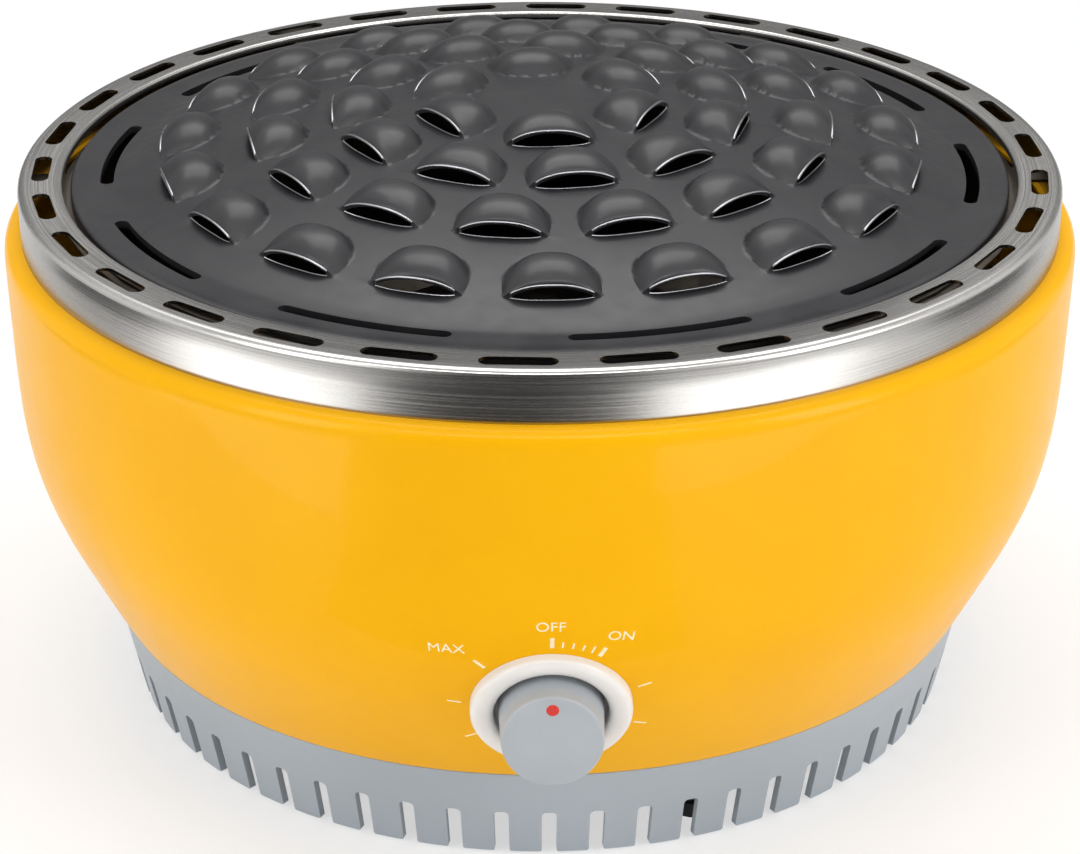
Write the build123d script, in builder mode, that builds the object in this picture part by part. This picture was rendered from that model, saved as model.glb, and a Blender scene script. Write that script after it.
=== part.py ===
from build123d import *
import os
from math import asin, atan, cos, degrees, pi, radians, sin, sqrt

os.makedirs("parts", exist_ok=True)

# A fan-assisted charcoal grill for the table. Millimetres, +Z up, the table at z = 0,
# the bowl's axis on Z and the control knob at the front, towards -Y.

# Driving dimensions
collar_radius = 171.0
collar_top = 180.0
collar_band_height = 16.3
collar_inner_radius = 156.5
bowl_radius = 176.6
flank_share = 0.9943
flank_height = 113.0
waist_share = 0.9819
waist_height = 91.0
belly_share = 0.9434
belly_height = 71.0
bowl_foot_share = 0.8369
base_height = 33.0
base_foot_share = 0.7996
plate_radius = 154.0
dome_radius = 139.0
dome_rise = 23.5
knob_axis_height = 66.0
knob_projection = 16.6

# Clearances and angles that several pieces share
rest_gap = 0.3
running_clearance = 0.05
overrun = 1.0
front = 270.0
quarter_turns = 4

# Sides of the small or hidden round forms, which keeps their faces few
post_sides = 8
can_sides = 12
dish_sides = 24
dial_sides = 48
ring_sides = 48

# One pattern of self-tapping screw, with a hexagon head
screw_sides = 6
screw_radius = 1.5
screw_head_radius = 3.0
screw_head_height = 2.0
screw_hole_radius = screw_radius + running_clearance


def screw_at(length):
    """A screw whose head stands on z = 0 and whose shank goes down by its length."""
    with BuildPart(mode=Mode.PRIVATE) as one:
        with BuildSketch():
            RegularPolygon(screw_head_radius, screw_sides)
        extrude(amount=screw_head_height)
        with BuildSketch():
            RegularPolygon(screw_radius, screw_sides)
        extrude(amount=-length)
    return one.part


def tier(low_radius, low, top_radius, top, sides=ring_sides):
    """One straight tier with many flat sides, between two radii and heights."""
    with BuildPart(mode=Mode.PRIVATE) as one:
        with BuildSketch(Plane.XY.offset(low)):
            RegularPolygon(low_radius, sides, major_radius=False, rotation=180 / sides)
        extrude(amount=top - low)
        if low_radius != top_radius:
            slope = degrees(atan((low_radius - top_radius) / (top - low)))
            draft(one.faces().filter_by(Axis.Z, reverse=True), Plane.XY.offset(low), slope)
    return one.part


def tiers(points, sides=ring_sides):
    """A solid of straight tiers through (radius, height) points, from the bottom up."""
    with BuildPart(mode=Mode.PRIVATE) as stack:
        for (low_radius, low), (top_radius, top) in zip(points, points[1:]):
            add(tier(low_radius, low, top_radius, top, sides))
    return stack.part


# Comb tooth of the base: one of the uprights between the open air slots
bowl_foot_radius = bowl_foot_share * bowl_radius
base_foot_radius = base_foot_share * bowl_radius
tooth_clearance = 0.8
base_wall = 2.6
slot_count = 60
slot_width = 4.7
slot_height = 17.0
slot_top = tooth_clearance + slot_height
base_slope = (bowl_foot_radius - base_foot_radius) / (base_height - tooth_clearance)
slot_top_radius = base_foot_radius + slot_height * base_slope
tooth_width = 2 * pi * base_foot_radius / slot_count - slot_width
tooth_inset = 0.2

with BuildPart() as comb_tooth:
    with BuildSketch(Plane.XZ):
        Polygon(
            (base_foot_radius - base_wall + tooth_inset, tooth_clearance),
            (base_foot_radius - tooth_inset, tooth_clearance),
            (slot_top_radius - tooth_inset, slot_top),
            (slot_top_radius - base_wall + tooth_inset, slot_top),
            align=None,
        )
    extrude(amount=tooth_width / 2, both=True)

# Base ring: moulded skirt with the comb of air slots and an inner ledge for the floor
ledge_width = 10.2
ledge_inner_radius = base_foot_radius - ledge_width
ledge_thickness = 2.5
ledge_top = slot_top + ledge_thickness
boss_circle = (ledge_inner_radius + base_foot_radius) / 2

with BuildPart() as base_ring:
    add(tiers([(slot_top_radius, slot_top), (bowl_foot_radius, base_height)]))
    add(
        tiers([(base_foot_radius, ledge_top), (bowl_foot_radius - base_wall, base_height)]),
        mode=Mode.SUBTRACT,
    )
    add(tiers([(ledge_inner_radius, slot_top), (ledge_inner_radius, ledge_top)]), mode=Mode.SUBTRACT)
    with PolarLocations(0, slot_count, front + 180 / slot_count):
        add(comb_tooth.part)
    with BuildSketch(Plane.XY.offset(ledge_top)):
        with PolarLocations(boss_circle, quarter_turns, 45):
            RegularPolygon(screw_hole_radius, screw_sides)
    extrude(amount=-ledge_thickness, mode=Mode.SUBTRACT)
base_ring.part.label = "base_ring"
export_step(base_ring.part, "parts/base_ring.step")

# Battery bay: its place and the cells that set its size
cell_radius = 7.25
cell_length = 50.5
cell_count = 4
cell_pitch = 2 * cell_radius + 0.7 * rest_gap
contact_depth = 3.0
bay_wall = 1.6
bay_floor_height = 7.0
bay_length = cell_length + 2 * contact_depth
bay_width = cell_count * cell_pitch + rest_gap
bay_front_y = 49.5
bay_centre_y = bay_front_y + bay_length / 2

# Base floor: carries the fan, the battery bay, the heat shield and the feet
floor_thickness = 2.5
floor_top = ledge_top + floor_thickness
boss_radius = 4.0
intake_radius = 30.0
motor_radius = 12.0
motor_hub_radius = 14.6
motor_hub_depth = 8.0
spoke_width = 4.0
spoke_count = 3
foot_circle = 122.0
foot_post_radius = 7.0
foot_height = 5.0
foot_stem_radius = 3.0
foot_stem_length = 6.0
shield_circle = 82.0
shield_height = 46.5
shield_post_radius = 4.0
foot_azimuth = 22.5

with BuildPart() as base_floor:
    with BuildSketch(Plane.XY.offset(ledge_top)):
        RegularPolygon(base_foot_radius, dial_sides)
        with Locations((0, bay_centre_y)):
            Rectangle(
                bay_width + 2 * (bay_wall + rest_gap),
                bay_length + 2 * (bay_wall + rest_gap),
                mode=Mode.SUBTRACT,
            )
    extrude(amount=floor_thickness)
    with BuildSketch(Plane.XY.offset(ledge_top)):
        RegularPolygon(motor_hub_radius, can_sides)
    extrude(amount=-motor_hub_depth)
    with BuildSketch(Plane.XY.offset(floor_top)):
        RegularPolygon(intake_radius, can_sides)
        RegularPolygon(motor_hub_radius, can_sides, mode=Mode.SUBTRACT)
        with PolarLocations(intake_radius / 2, spoke_count, front):
            Rectangle(intake_radius + overrun, spoke_width, mode=Mode.SUBTRACT)
    extrude(amount=-floor_thickness, mode=Mode.SUBTRACT)
    with BuildSketch(Plane.XY.offset(floor_top)):
        with PolarLocations(boss_circle, quarter_turns, 45):
            RegularPolygon(boss_radius, post_sides)
    extrude(amount=base_height - floor_top)
    with BuildSketch(Plane.XY.offset(floor_top)):
        with PolarLocations(shield_circle, quarter_turns, 45):
            RegularPolygon(shield_post_radius, post_sides)
    extrude(amount=shield_height - floor_top)
    with BuildSketch(Plane.XY.offset(foot_height)):
        with PolarLocations(foot_circle, quarter_turns, foot_azimuth):
            RegularPolygon(foot_post_radius, post_sides)
    extrude(amount=ledge_top - foot_height)
    with BuildSketch(Plane.XY.offset(foot_height)):
        with PolarLocations(foot_circle, quarter_turns, foot_azimuth):
            RegularPolygon(foot_stem_radius + running_clearance, post_sides)
    extrude(amount=foot_stem_length + rest_gap, mode=Mode.SUBTRACT)
    with BuildSketch(Plane.XY.offset(floor_top)):
        RegularPolygon(motor_radius + running_clearance, can_sides)
    extrude(amount=-floor_thickness - motor_hub_depth, mode=Mode.SUBTRACT)
    with BuildSketch(Plane.XY.offset(ledge_top)):
        with PolarLocations(boss_circle, quarter_turns, 45):
            RegularPolygon(screw_hole_radius, screw_sides)
    extrude(amount=base_height - ledge_top, mode=Mode.SUBTRACT)
    with BuildSketch(Plane.XY.offset(shield_height)):
        with PolarLocations(shield_circle, quarter_turns, 45):
            RegularPolygon(screw_hole_radius, screw_sides)
    extrude(amount=-(shield_height - floor_top) / 2, mode=Mode.SUBTRACT)
base_floor.part.label = "base_floor"
export_step(base_floor.part, "parts/base_floor.step")

# Rubber feet: pads with a stem pressed into the floor's posts
foot_radius = 9.0

with BuildPart() as rubber_feet:
    with BuildSketch():
        with PolarLocations(foot_circle, quarter_turns, foot_azimuth):
            RegularPolygon(foot_radius, can_sides)
    extrude(amount=foot_height)
    with BuildSketch(Plane.XY.offset(foot_height)):
        with PolarLocations(foot_circle, quarter_turns, foot_azimuth):
            RegularPolygon(foot_stem_radius, post_sides)
    extrude(amount=foot_stem_length)
rubber_feet.part.label = "rubber_feet"
export_step(rubber_feet.part, "parts/rubber_feet.step")

# Base screws: up through the ledge into the floor's bosses
base_screw_length = 10.0
base_screw = screw_at(base_screw_length)

with BuildPart() as base_screws:
    with PolarLocations(boss_circle, quarter_turns, 45):
        with Locations(Location((0, 0, ledge_top - ledge_thickness), (180, 0, 0))):
            add(base_screw)
base_screws.part.label = "base_screws"
export_step(base_screws.part, "parts/base_screws.step")

# Outer bowl: pressed and painted sheet, an upright flank over a tapering foot
bowl_gauge = 1.2
shoulder_round = 4.6
shoulder_height = collar_top - collar_band_height
shoulder_lip = 12.6
shoulder_inner_radius = bowl_radius - shoulder_lip
flank_radius = flank_share * bowl_radius
waist_radius = waist_share * bowl_radius
belly_radius = belly_share * bowl_radius
bezel_centre_height = 67.2
bezel_radius = 24.3
bezel_tilt = 20.0
bezel_hole_gap = 0.2
foot_slope = (belly_radius - bowl_foot_radius) / (belly_height - base_height)


def foot_radius_at(height):
    """The bowl's outer radius on its tapering foot."""
    return bowl_foot_radius + (height - base_height) * foot_slope


bezel_seat_radius = foot_radius_at(bezel_centre_height) + 0.4 * bowl_gauge
knob_face_reach = bezel_seat_radius + knob_projection
bezel_plane = Plane(
    origin=(0, -bezel_seat_radius, bezel_centre_height),
    x_dir=(1, 0, 0),
    z_dir=(0, -cos(radians(bezel_tilt)), -sin(radians(bezel_tilt))),
)

bowl_rise = [
    (belly_radius, belly_height),
    (waist_radius, waist_height),
    (flank_radius, flank_height),
    (bowl_radius, shoulder_height - shoulder_round),
]
bowl_outside = [(bowl_foot_radius, base_height)]
bowl_outside += bowl_rise
bowl_outside += [(bowl_radius - shoulder_round, shoulder_height)]
bowl_inside = [(foot_radius_at(base_height + bowl_gauge) - bowl_gauge, base_height + bowl_gauge)]
bowl_inside += [(reach - bowl_gauge, height) for reach, height in bowl_rise]
bowl_inside += [(bowl_radius - shoulder_round, shoulder_height - bowl_gauge)]

with BuildPart() as outer_bowl:
    add(tiers(bowl_outside))
    add(tiers(bowl_inside), mode=Mode.SUBTRACT)
    for opening_radius, height in (
        (ledge_inner_radius, base_height),
        (shoulder_inner_radius, shoulder_height - bowl_gauge),
    ):
        add(
            tiers([(opening_radius, height), (opening_radius, height + bowl_gauge)]),
            mode=Mode.SUBTRACT,
        )
    with BuildSketch(bezel_plane.offset(bezel_radius)):
        RegularPolygon(bezel_radius + bezel_hole_gap, dial_sides)
    extrude(amount=-2 * bezel_radius, mode=Mode.SUBTRACT)
    with BuildSketch(Plane.XY.offset(base_height - overrun)):
        with PolarLocations(boss_circle, quarter_turns, 45):
            RegularPolygon(screw_hole_radius, screw_sides)
    extrude(amount=bowl_gauge + 2 * overrun, mode=Mode.SUBTRACT)
outer_bowl.part.label = "outer_bowl"
export_step(outer_bowl.part, "parts/outer_bowl.step")

# Bowl screws: down through the bowl's foot into the same bosses
bowl_screw_length = 5.0
bowl_screw = screw_at(bowl_screw_length)

with BuildPart() as bowl_screws:
    with PolarLocations(boss_circle, quarter_turns, 45):
        with Locations((0, 0, base_height + bowl_gauge)):
            add(bowl_screw)
bowl_screws.part.label = "bowl_screws"
export_step(bowl_screws.part, "parts/bowl_screws.step")

# Steel collar: flat top of the stainless rim, which lifts out with the fire bowl
collar_gauge = 1.0
rim_slot_count = 30
rim_slot_length = 22.8
rim_slot_width = 5.6
rim_slot_corner = 1.8
rim_slot_turn = 3.3
rim_slot_radius = (collar_radius + collar_inner_radius) / 2
collar_under = collar_top - collar_gauge

with BuildPart() as steel_collar:
    add(tiers([(collar_radius, collar_under), (collar_radius, collar_top)]))
    add(
        tiers([(collar_inner_radius, collar_under), (collar_inner_radius, collar_top)]),
        mode=Mode.SUBTRACT,
    )
    with BuildSketch(Plane.XY.offset(collar_top)) as rim_slots:
        with PolarLocations(rim_slot_radius, rim_slot_count, front - rim_slot_turn):
            Rectangle(rim_slot_width, rim_slot_length)
        chamfer(rim_slots.vertices(), rim_slot_corner)
    extrude(amount=-collar_gauge, mode=Mode.SUBTRACT)
steel_collar.part.label = "steel_collar"
export_step(steel_collar.part, "parts/steel_collar.step")

# Collar band: upright outer side of the rim, standing on the bowl's shoulder
band_inner_radius = collar_radius - collar_gauge

with BuildPart() as collar_band:
    add(tiers([(collar_radius, shoulder_height), (collar_radius, collar_under)]))
    add(
        tiers([(band_inner_radius, shoulder_height), (band_inner_radius, collar_under)]),
        mode=Mode.SUBTRACT,
    )
collar_band.part.label = "collar_band"
export_step(collar_band.part, "parts/collar_band.step")

# Collar shelf: steel ring on arms, welded inside the band, that holds the fire bowl's flange
shelf_drop = 7.0
shelf_width = 6.9
shelf_arm_count = 6
shelf_arm_width = 12.0
shelf_height = collar_top - shelf_drop
shelf_radius = collar_inner_radius + collar_gauge
shelf_inner_radius = shelf_radius - shelf_width

with BuildPart() as collar_shelf:
    add(tiers([(shelf_radius, shelf_height - collar_gauge), (shelf_radius, shelf_height)]))
    with BuildSketch(Plane.XY.offset(shelf_height)):
        with PolarLocations((shelf_inner_radius + band_inner_radius) / 2, shelf_arm_count):
            Rectangle(band_inner_radius - shelf_inner_radius, shelf_arm_width)
    extrude(amount=-collar_gauge)
    add(
        tiers([(shelf_inner_radius, shelf_height - collar_gauge), (shelf_inner_radius, shelf_height)]),
        mode=Mode.SUBTRACT,
    )
collar_shelf.part.label = "collar_shelf"
export_step(collar_shelf.part, "parts/collar_shelf.step")

# Inner bowl: stainless fire bowl, welded by its flange to the collar's shelf
pot_gauge = 1.0
pot_flange_radius = collar_inner_radius - 1.1 * pot_gauge
pot_wall_radius = shelf_inner_radius - 2 * rest_gap
pot_knee_height = 82.0
pot_floor_radius = 96.0
pot_floor_height = 50.0
pot_top = shelf_height + pot_gauge
nozzle_radius = 20.0

pot_inside = pot_floor_height + pot_gauge

with BuildPart() as inner_bowl:
    add(
        tiers(
            [
                (pot_floor_radius, pot_floor_height),
                (pot_wall_radius, pot_knee_height),
                (pot_wall_radius, shelf_height),
            ]
        )
    )
    add(tiers([(pot_flange_radius, shelf_height), (pot_flange_radius, pot_top)]))
    add(
        tiers(
            [
                (pot_floor_radius, pot_inside),
                (pot_wall_radius - pot_gauge, pot_knee_height + pot_gauge / 2),
                (pot_wall_radius - pot_gauge, pot_top),
            ]
        ),
        mode=Mode.SUBTRACT,
    )
    with BuildSketch(Plane.XY.offset(pot_floor_height)):
        RegularPolygon(nozzle_radius + running_clearance, dish_sides)
    extrude(amount=pot_gauge, mode=Mode.SUBTRACT)
inner_bowl.part.label = "inner_bowl"
export_step(inner_bowl.part, "parts/inner_bowl.step")

# Air nozzle: flanged steel tube that brings the fan's air up through the fire bowl
nozzle_gauge = 1.0
nozzle_height = 13.0

with BuildPart() as air_nozzle:
    with BuildSketch(Plane.XY.offset(pot_floor_height)):
        RegularPolygon(nozzle_radius, dish_sides)
    extrude(amount=nozzle_height)
    with BuildSketch(Plane.XY.offset(pot_inside)):
        RegularPolygon(nozzle_radius + 2 * nozzle_gauge, dish_sides)
    extrude(amount=nozzle_gauge)
    with BuildSketch(Plane.XY.offset(pot_floor_height)):
        RegularPolygon(nozzle_radius - nozzle_gauge, dish_sides)
    extrude(amount=nozzle_height, mode=Mode.SUBTRACT)
air_nozzle.part.label = "air_nozzle"
export_step(air_nozzle.part, "parts/air_nozzle.step")

# Ignition tray: ring-shaped dish for lighting gel, round the nozzle
tray_gauge = 0.8
tray_inner_radius = nozzle_radius + 2 * nozzle_gauge + 1.5
tray_radius = 46.0
tray_height = 9.0

with BuildPart() as ignition_tray:
    with BuildSketch(Plane.XY.offset(pot_inside)):
        RegularPolygon(tray_radius, dish_sides)
        RegularPolygon(tray_inner_radius, dish_sides, mode=Mode.SUBTRACT)
    extrude(amount=tray_height)
    with BuildSketch(Plane.XY.offset(pot_inside + tray_gauge)):
        RegularPolygon(tray_radius - tray_gauge, dish_sides)
        RegularPolygon(tray_inner_radius + tray_gauge, dish_sides, mode=Mode.SUBTRACT)
    extrude(amount=tray_height, mode=Mode.SUBTRACT)
ignition_tray.part.label = "ignition_tray"
export_step(ignition_tray.part, "parts/ignition_tray.step")

# Charcoal basket: perforated steel wall, open above
basket_gauge = 1.0
basket_radius = 60.0
basket_height = 46.0
basket_floor_height = 67.0
basket_slot_count = 16
basket_slot_width = 6.0
basket_slot_height = 30.0
basket_top = basket_floor_height + basket_height
basket_slot_foot = basket_floor_height + (basket_height - basket_slot_height) / 2

with BuildPart() as charcoal_basket:
    with BuildSketch(Plane.XY.offset(basket_floor_height)):
        RegularPolygon(basket_radius, dish_sides)
        RegularPolygon(basket_radius - basket_gauge, dish_sides, mode=Mode.SUBTRACT)
    extrude(amount=basket_height)
    with BuildSketch(Plane.XY.offset(basket_slot_foot)):
        with PolarLocations(basket_radius, basket_slot_count, front):
            Rectangle(4 * basket_gauge, basket_slot_width)
    extrude(amount=basket_slot_height, mode=Mode.SUBTRACT)
charcoal_basket.part.label = "charcoal_basket"
export_step(charcoal_basket.part, "parts/charcoal_basket.step")

# Basket floor: steel disc with radial air slots, welded into the foot of the wall
grid_slot_count = 8
grid_inner_radius = 12.0

with BuildPart() as basket_floor:
    with BuildSketch(Plane.XY.offset(basket_floor_height)):
        RegularPolygon(basket_radius - basket_gauge, dish_sides)
        with PolarLocations((basket_radius + grid_inner_radius) / 2, grid_slot_count, front):
            Rectangle(basket_radius - 2 * grid_inner_radius, basket_slot_width, mode=Mode.SUBTRACT)
    extrude(amount=basket_gauge)
basket_floor.part.label = "basket_floor"
export_step(basket_floor.part, "parts/basket_floor.step")

# Basket legs: four steel tabs welded under the basket's floor, between its slots, which
# stand in the ignition tray just inside its wall
leg_count = 4
leg_width = 10.0
leg_inset = 3.2
leg_foot_height = pot_inside + tray_gauge
leg_turn = front + 180 / grid_slot_count

with BuildPart() as basket_legs:
    with BuildSketch(Plane.XY.offset(leg_foot_height)):
        with PolarLocations(tray_radius - tray_gauge - leg_inset, leg_count, leg_turn):
            Rectangle(2 * basket_gauge, leg_width)
    extrude(amount=basket_floor_height - leg_foot_height)
basket_legs.part.label = "basket_legs"
export_step(basket_legs.part, "parts/basket_legs.step")

# Basket lid: steel cap that keeps the dripping fat off the charcoal
lid_gauge = 1.0
lid_skirt_height = 6.0
lid_skirt_radius = basket_radius - basket_gauge - rest_gap
lid_knob_hole_radius = 2.0

with BuildPart() as basket_lid:
    with BuildSketch(Plane.XY.offset(basket_top)):
        RegularPolygon(basket_radius + lid_gauge, dish_sides)
    extrude(amount=lid_gauge)
    with BuildSketch(Plane.XY.offset(basket_top)):
        RegularPolygon(lid_skirt_radius, dish_sides)
        RegularPolygon(lid_skirt_radius - lid_gauge, dish_sides, mode=Mode.SUBTRACT)
    extrude(amount=-lid_skirt_height)
    with BuildSketch(Plane.XY.offset(basket_top)):
        RegularPolygon(lid_knob_hole_radius, screw_sides)
    extrude(amount=lid_gauge, mode=Mode.SUBTRACT)
basket_lid.part.label = "basket_lid"
export_step(basket_lid.part, "parts/basket_lid.step")

# Lid knob: turned steel button riveted through the lid
lid_knob_radius = 8.0
lid_knob_neck_radius = 4.0
lid_knob_height = 13.0
lid_knob_cap_height = 5.0
rivet_radius = lid_knob_hole_radius - running_clearance

with BuildPart() as lid_knob:
    with BuildSketch(Plane.XY.offset(basket_top + lid_gauge)):
        RegularPolygon(lid_knob_neck_radius, post_sides)
    extrude(amount=lid_knob_height - lid_knob_cap_height)
    with BuildSketch(Plane.XY.offset(basket_top + lid_gauge + lid_knob_height)):
        RegularPolygon(lid_knob_radius, dish_sides)
    extrude(amount=-lid_knob_cap_height)
    with BuildSketch(Plane.XY.offset(basket_top + lid_gauge)):
        RegularPolygon(rivet_radius, screw_sides)
    extrude(amount=-2 * lid_gauge)
    with BuildSketch(Plane.XY.offset(basket_top)):
        RegularPolygon(2 * rivet_radius, screw_sides)
    extrude(amount=-lid_gauge)
lid_knob.part.label = "lid_knob"
export_step(lid_knob.part, "parts/lid_knob.step")

# Louvred bubble of the grill plate: a rounded blister cut off square at its slit.
# It is made at the origin, with the slit facing +X and the plate's skin at z = 0.
plate_thickness = 2.4
bubble_radius = 13.6
bubble_setback = 4.6
bubble_height = 7.0
bubble_taper = 40.0
bubble_sides = 8
bubble_root = plate_thickness / 2

with BuildPart() as bubble:
    with BuildSketch(Plane.XY.offset(-bubble_root)):
        with Locations((-bubble_setback, 0)):
            RegularPolygon(bubble_radius + bubble_root, bubble_sides)
    extrude(amount=bubble_height + bubble_root)
    draft(
        bubble.faces().filter_by(Axis.Z, reverse=True),
        Plane.XY.offset(-bubble_root),
        bubble_taper,
    )
    split(bisect_by=Plane.YZ, keep=Keep.BOTTOM)

# Louvre passage: opens the slit's low arch to the heat, down through the plate behind it
mouth_width = 17.0
mouth_height = 3.8
mouth_shares = ((0.6, -1.4), (0.42, 1), (-0.42, 1), (-0.6, -1.4))
passage_depth = 9.0

with BuildPart() as passage:
    with BuildSketch(Plane.YZ):
        Polygon(
            *[(mouth_width * across, mouth_height * up) for across, up in mouth_shares],
            align=None,
        )
    extrude(amount=-passage_depth)

# Grill plate: domed cast plate with four rings of louvred bubbles and a slotted gutter
gutter_drop = 2.3
gutter_top = collar_top - gutter_drop
plate_seat_radius = 151.0
dome_sphere = (dome_radius**2 + dome_rise**2) / (2 * dome_rise)
dome_centre = gutter_top + dome_rise - dome_sphere
dome_tier_shares = (1, 0.81, 0.6, 0.37, 0.06)
ring_counts = (6, 11, 15, 19)
ring_radius_shares = (0.284, 0.483, 0.681, 0.89)
ring_turns = (-3.9, -8.1, 8.4, -0.5)
gutter_slot_count = 10
gutter_slot_radius = 142.0
gutter_slot_angle = 20.7
gutter_slot_width = 5.0
gutter_slot_turn = -13.3
gutter_slot_steps = 4


def bubble_places():
    """The place and tilt of each bubble: its ring's count and turn, and its lip's place."""
    for count, share, turn in zip(ring_counts, ring_radius_shares, ring_turns):
        lip = share * dome_radius
        height = dome_centre + sqrt(dome_sphere**2 - lip**2)
        tilt = degrees(asin(lip / dome_sphere))
        yield count, lip, turn, Location((0, 0, height), (0, tilt, 0))


def dome_tiers(drop):
    """The dome as a solid of shallow tiers, let down by a drop."""
    reaches = [share * dome_radius for share in dome_tier_shares]
    rises = [dome_centre + sqrt(dome_sphere**2 - reach**2) for reach in reaches]
    inset = cos(pi / dish_sides)
    return tiers([(reach * inset, rise - drop) for reach, rise in zip(reaches, rises)], dish_sides)


def gutter_slot_corners():
    """The corners of a gutter slot along its arc, out on one side and back on the other."""
    half_width = gutter_slot_width / 2
    half_angle = gutter_slot_angle / 2
    tip = half_angle + degrees(half_width / gutter_slot_radius)
    turns = [half_angle * (2 * step / gutter_slot_steps - 1) for step in range(gutter_slot_steps + 1)]
    way = [(gutter_slot_radius, -tip)]
    way += [(gutter_slot_radius + half_width, turn) for turn in turns]
    way += [(gutter_slot_radius, tip)]
    way += [(gutter_slot_radius - half_width, -turn) for turn in turns]
    return [(reach * cos(radians(turn)), reach * sin(radians(turn))) for reach, turn in way]


with BuildPart() as grill_plate:
    add(tiers([(plate_radius, pot_top), (plate_radius, gutter_top)]))
    add(dome_tiers(0))
    add(
        tiers([(plate_seat_radius, pot_top), (plate_seat_radius, gutter_top - plate_thickness)]),
        mode=Mode.SUBTRACT,
    )
    add(dome_tiers(plate_thickness), mode=Mode.SUBTRACT)
    for count, lip, turn, place in bubble_places():
        with PolarLocations(lip, count, front - turn):
            with Locations(place):
                add(bubble.part)
    for count, lip, turn, place in bubble_places():
        with PolarLocations(lip, count, front - turn):
            with Locations(place):
                add(passage.part, mode=Mode.SUBTRACT)
    with BuildSketch(Plane.XY.offset(gutter_top)):
        with PolarLocations(0, gutter_slot_count, front - gutter_slot_turn):
            Polygon(*gutter_slot_corners(), align=None)
    extrude(amount=-2 * plate_thickness, mode=Mode.SUBTRACT)
grill_plate.part.label = "grill_plate"
export_step(grill_plate.part, "parts/grill_plate.step")

# Heat shield: steel disc on the floor's posts, between the fire and the electrics
shield_gauge = 0.8
shield_radius = 94.0
housing_spigot_radius = 18.0
shield_hole_radius = housing_spigot_radius + rest_gap

with BuildPart() as heat_shield:
    with BuildSketch(Plane.XY.offset(shield_height)):
        RegularPolygon(shield_radius, dish_sides)
        RegularPolygon(shield_hole_radius, dish_sides, mode=Mode.SUBTRACT)
        with PolarLocations(shield_circle, quarter_turns, 45):
            RegularPolygon(screw_hole_radius, screw_sides, mode=Mode.SUBTRACT)
    extrude(amount=shield_gauge)
heat_shield.part.label = "heat_shield"
export_step(heat_shield.part, "parts/heat_shield.step")

# Shield screws
shield_screw_length = 8.0
shield_screw = screw_at(shield_screw_length)

with BuildPart() as shield_screws:
    with PolarLocations(shield_circle, quarter_turns, 45):
        with Locations((0, 0, shield_height + shield_gauge)):
            add(shield_screw)
shield_screws.part.label = "shield_screws"
export_step(shield_screws.part, "parts/shield_screws.step")

# Fan motor: small can motor held in the floor's hub
motor_height = 17.0
motor_nose_radius = 3.0
motor_nose_height = 1.2
motor_top = floor_top + 2 * rest_gap
shaft_radius = 1.0
shaft_depth = 6.0

with BuildPart() as fan_motor:
    with BuildSketch(Plane.XY.offset(motor_top)):
        RegularPolygon(motor_radius, can_sides)
    extrude(amount=-motor_height)
    with BuildSketch(Plane.XY.offset(motor_top)):
        RegularPolygon(motor_nose_radius, post_sides)
    extrude(amount=motor_nose_height)
    with BuildSketch(Plane.XY.offset(motor_top + motor_nose_height)):
        Circle(shaft_radius + running_clearance)
    extrude(amount=-shaft_depth, mode=Mode.SUBTRACT)
fan_motor.part.label = "fan_motor"
export_step(fan_motor.part, "parts/fan_motor.step")

# Fan housing: moulded cup over the impeller, with a spigot that blows up the nozzle
housing_wall = 1.8
housing_radius = 36.0
housing_height = 20.0
housing_flange_radius = 42.0
housing_spigot_wall = 1.6
housing_top = floor_top + housing_height
housing_screw_circle = (housing_radius + housing_flange_radius) / 2
spigot_top = pot_floor_height - rest_gap

with BuildPart() as fan_housing:
    with BuildSketch(Plane.XY.offset(floor_top)):
        RegularPolygon(housing_flange_radius, dish_sides)
        with PolarLocations(housing_screw_circle, spoke_count, front):
            RegularPolygon(screw_hole_radius, screw_sides, mode=Mode.SUBTRACT)
    extrude(amount=housing_wall)
    with BuildSketch(Plane.XY.offset(floor_top)):
        RegularPolygon(housing_radius, dish_sides)
    extrude(amount=housing_height)
    with BuildSketch(Plane.XY.offset(floor_top)):
        RegularPolygon(housing_radius - housing_wall, dish_sides)
    extrude(amount=housing_height - housing_wall, mode=Mode.SUBTRACT)
    with BuildSketch(Plane.XY.offset(housing_top)):
        RegularPolygon(housing_spigot_radius, dish_sides)
    extrude(amount=spigot_top - housing_top)
    with BuildSketch(Plane.XY.offset(housing_top - 2 * housing_wall)):
        RegularPolygon(housing_spigot_radius - housing_spigot_wall, dish_sides)
    extrude(amount=housing_height, mode=Mode.SUBTRACT)
fan_housing.part.label = "fan_housing"
export_step(fan_housing.part, "parts/fan_housing.step")

# Fan screws: down through the housing's flange and the floor
fan_screw_length = housing_wall
fan_screw = screw_at(fan_screw_length)

with BuildPart() as fan_screws:
    with PolarLocations(housing_screw_circle, spoke_count, front):
        with Locations((0, 0, floor_top + housing_wall)):
            add(fan_screw)
fan_screws.part.label = "fan_screws"
export_step(fan_screws.part, "parts/fan_screws.step")

# Fan impeller: straight radial blades under a back disc
impeller_radius = 29.0
impeller_hub_radius = 6.0
impeller_bottom = motor_top + motor_nose_height + 2 * rest_gap
impeller_height = 10.0
impeller_disc = 1.2
blade_count = 9
blade_thickness = 1.2
disc_bottom = impeller_bottom + impeller_height - impeller_disc

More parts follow.
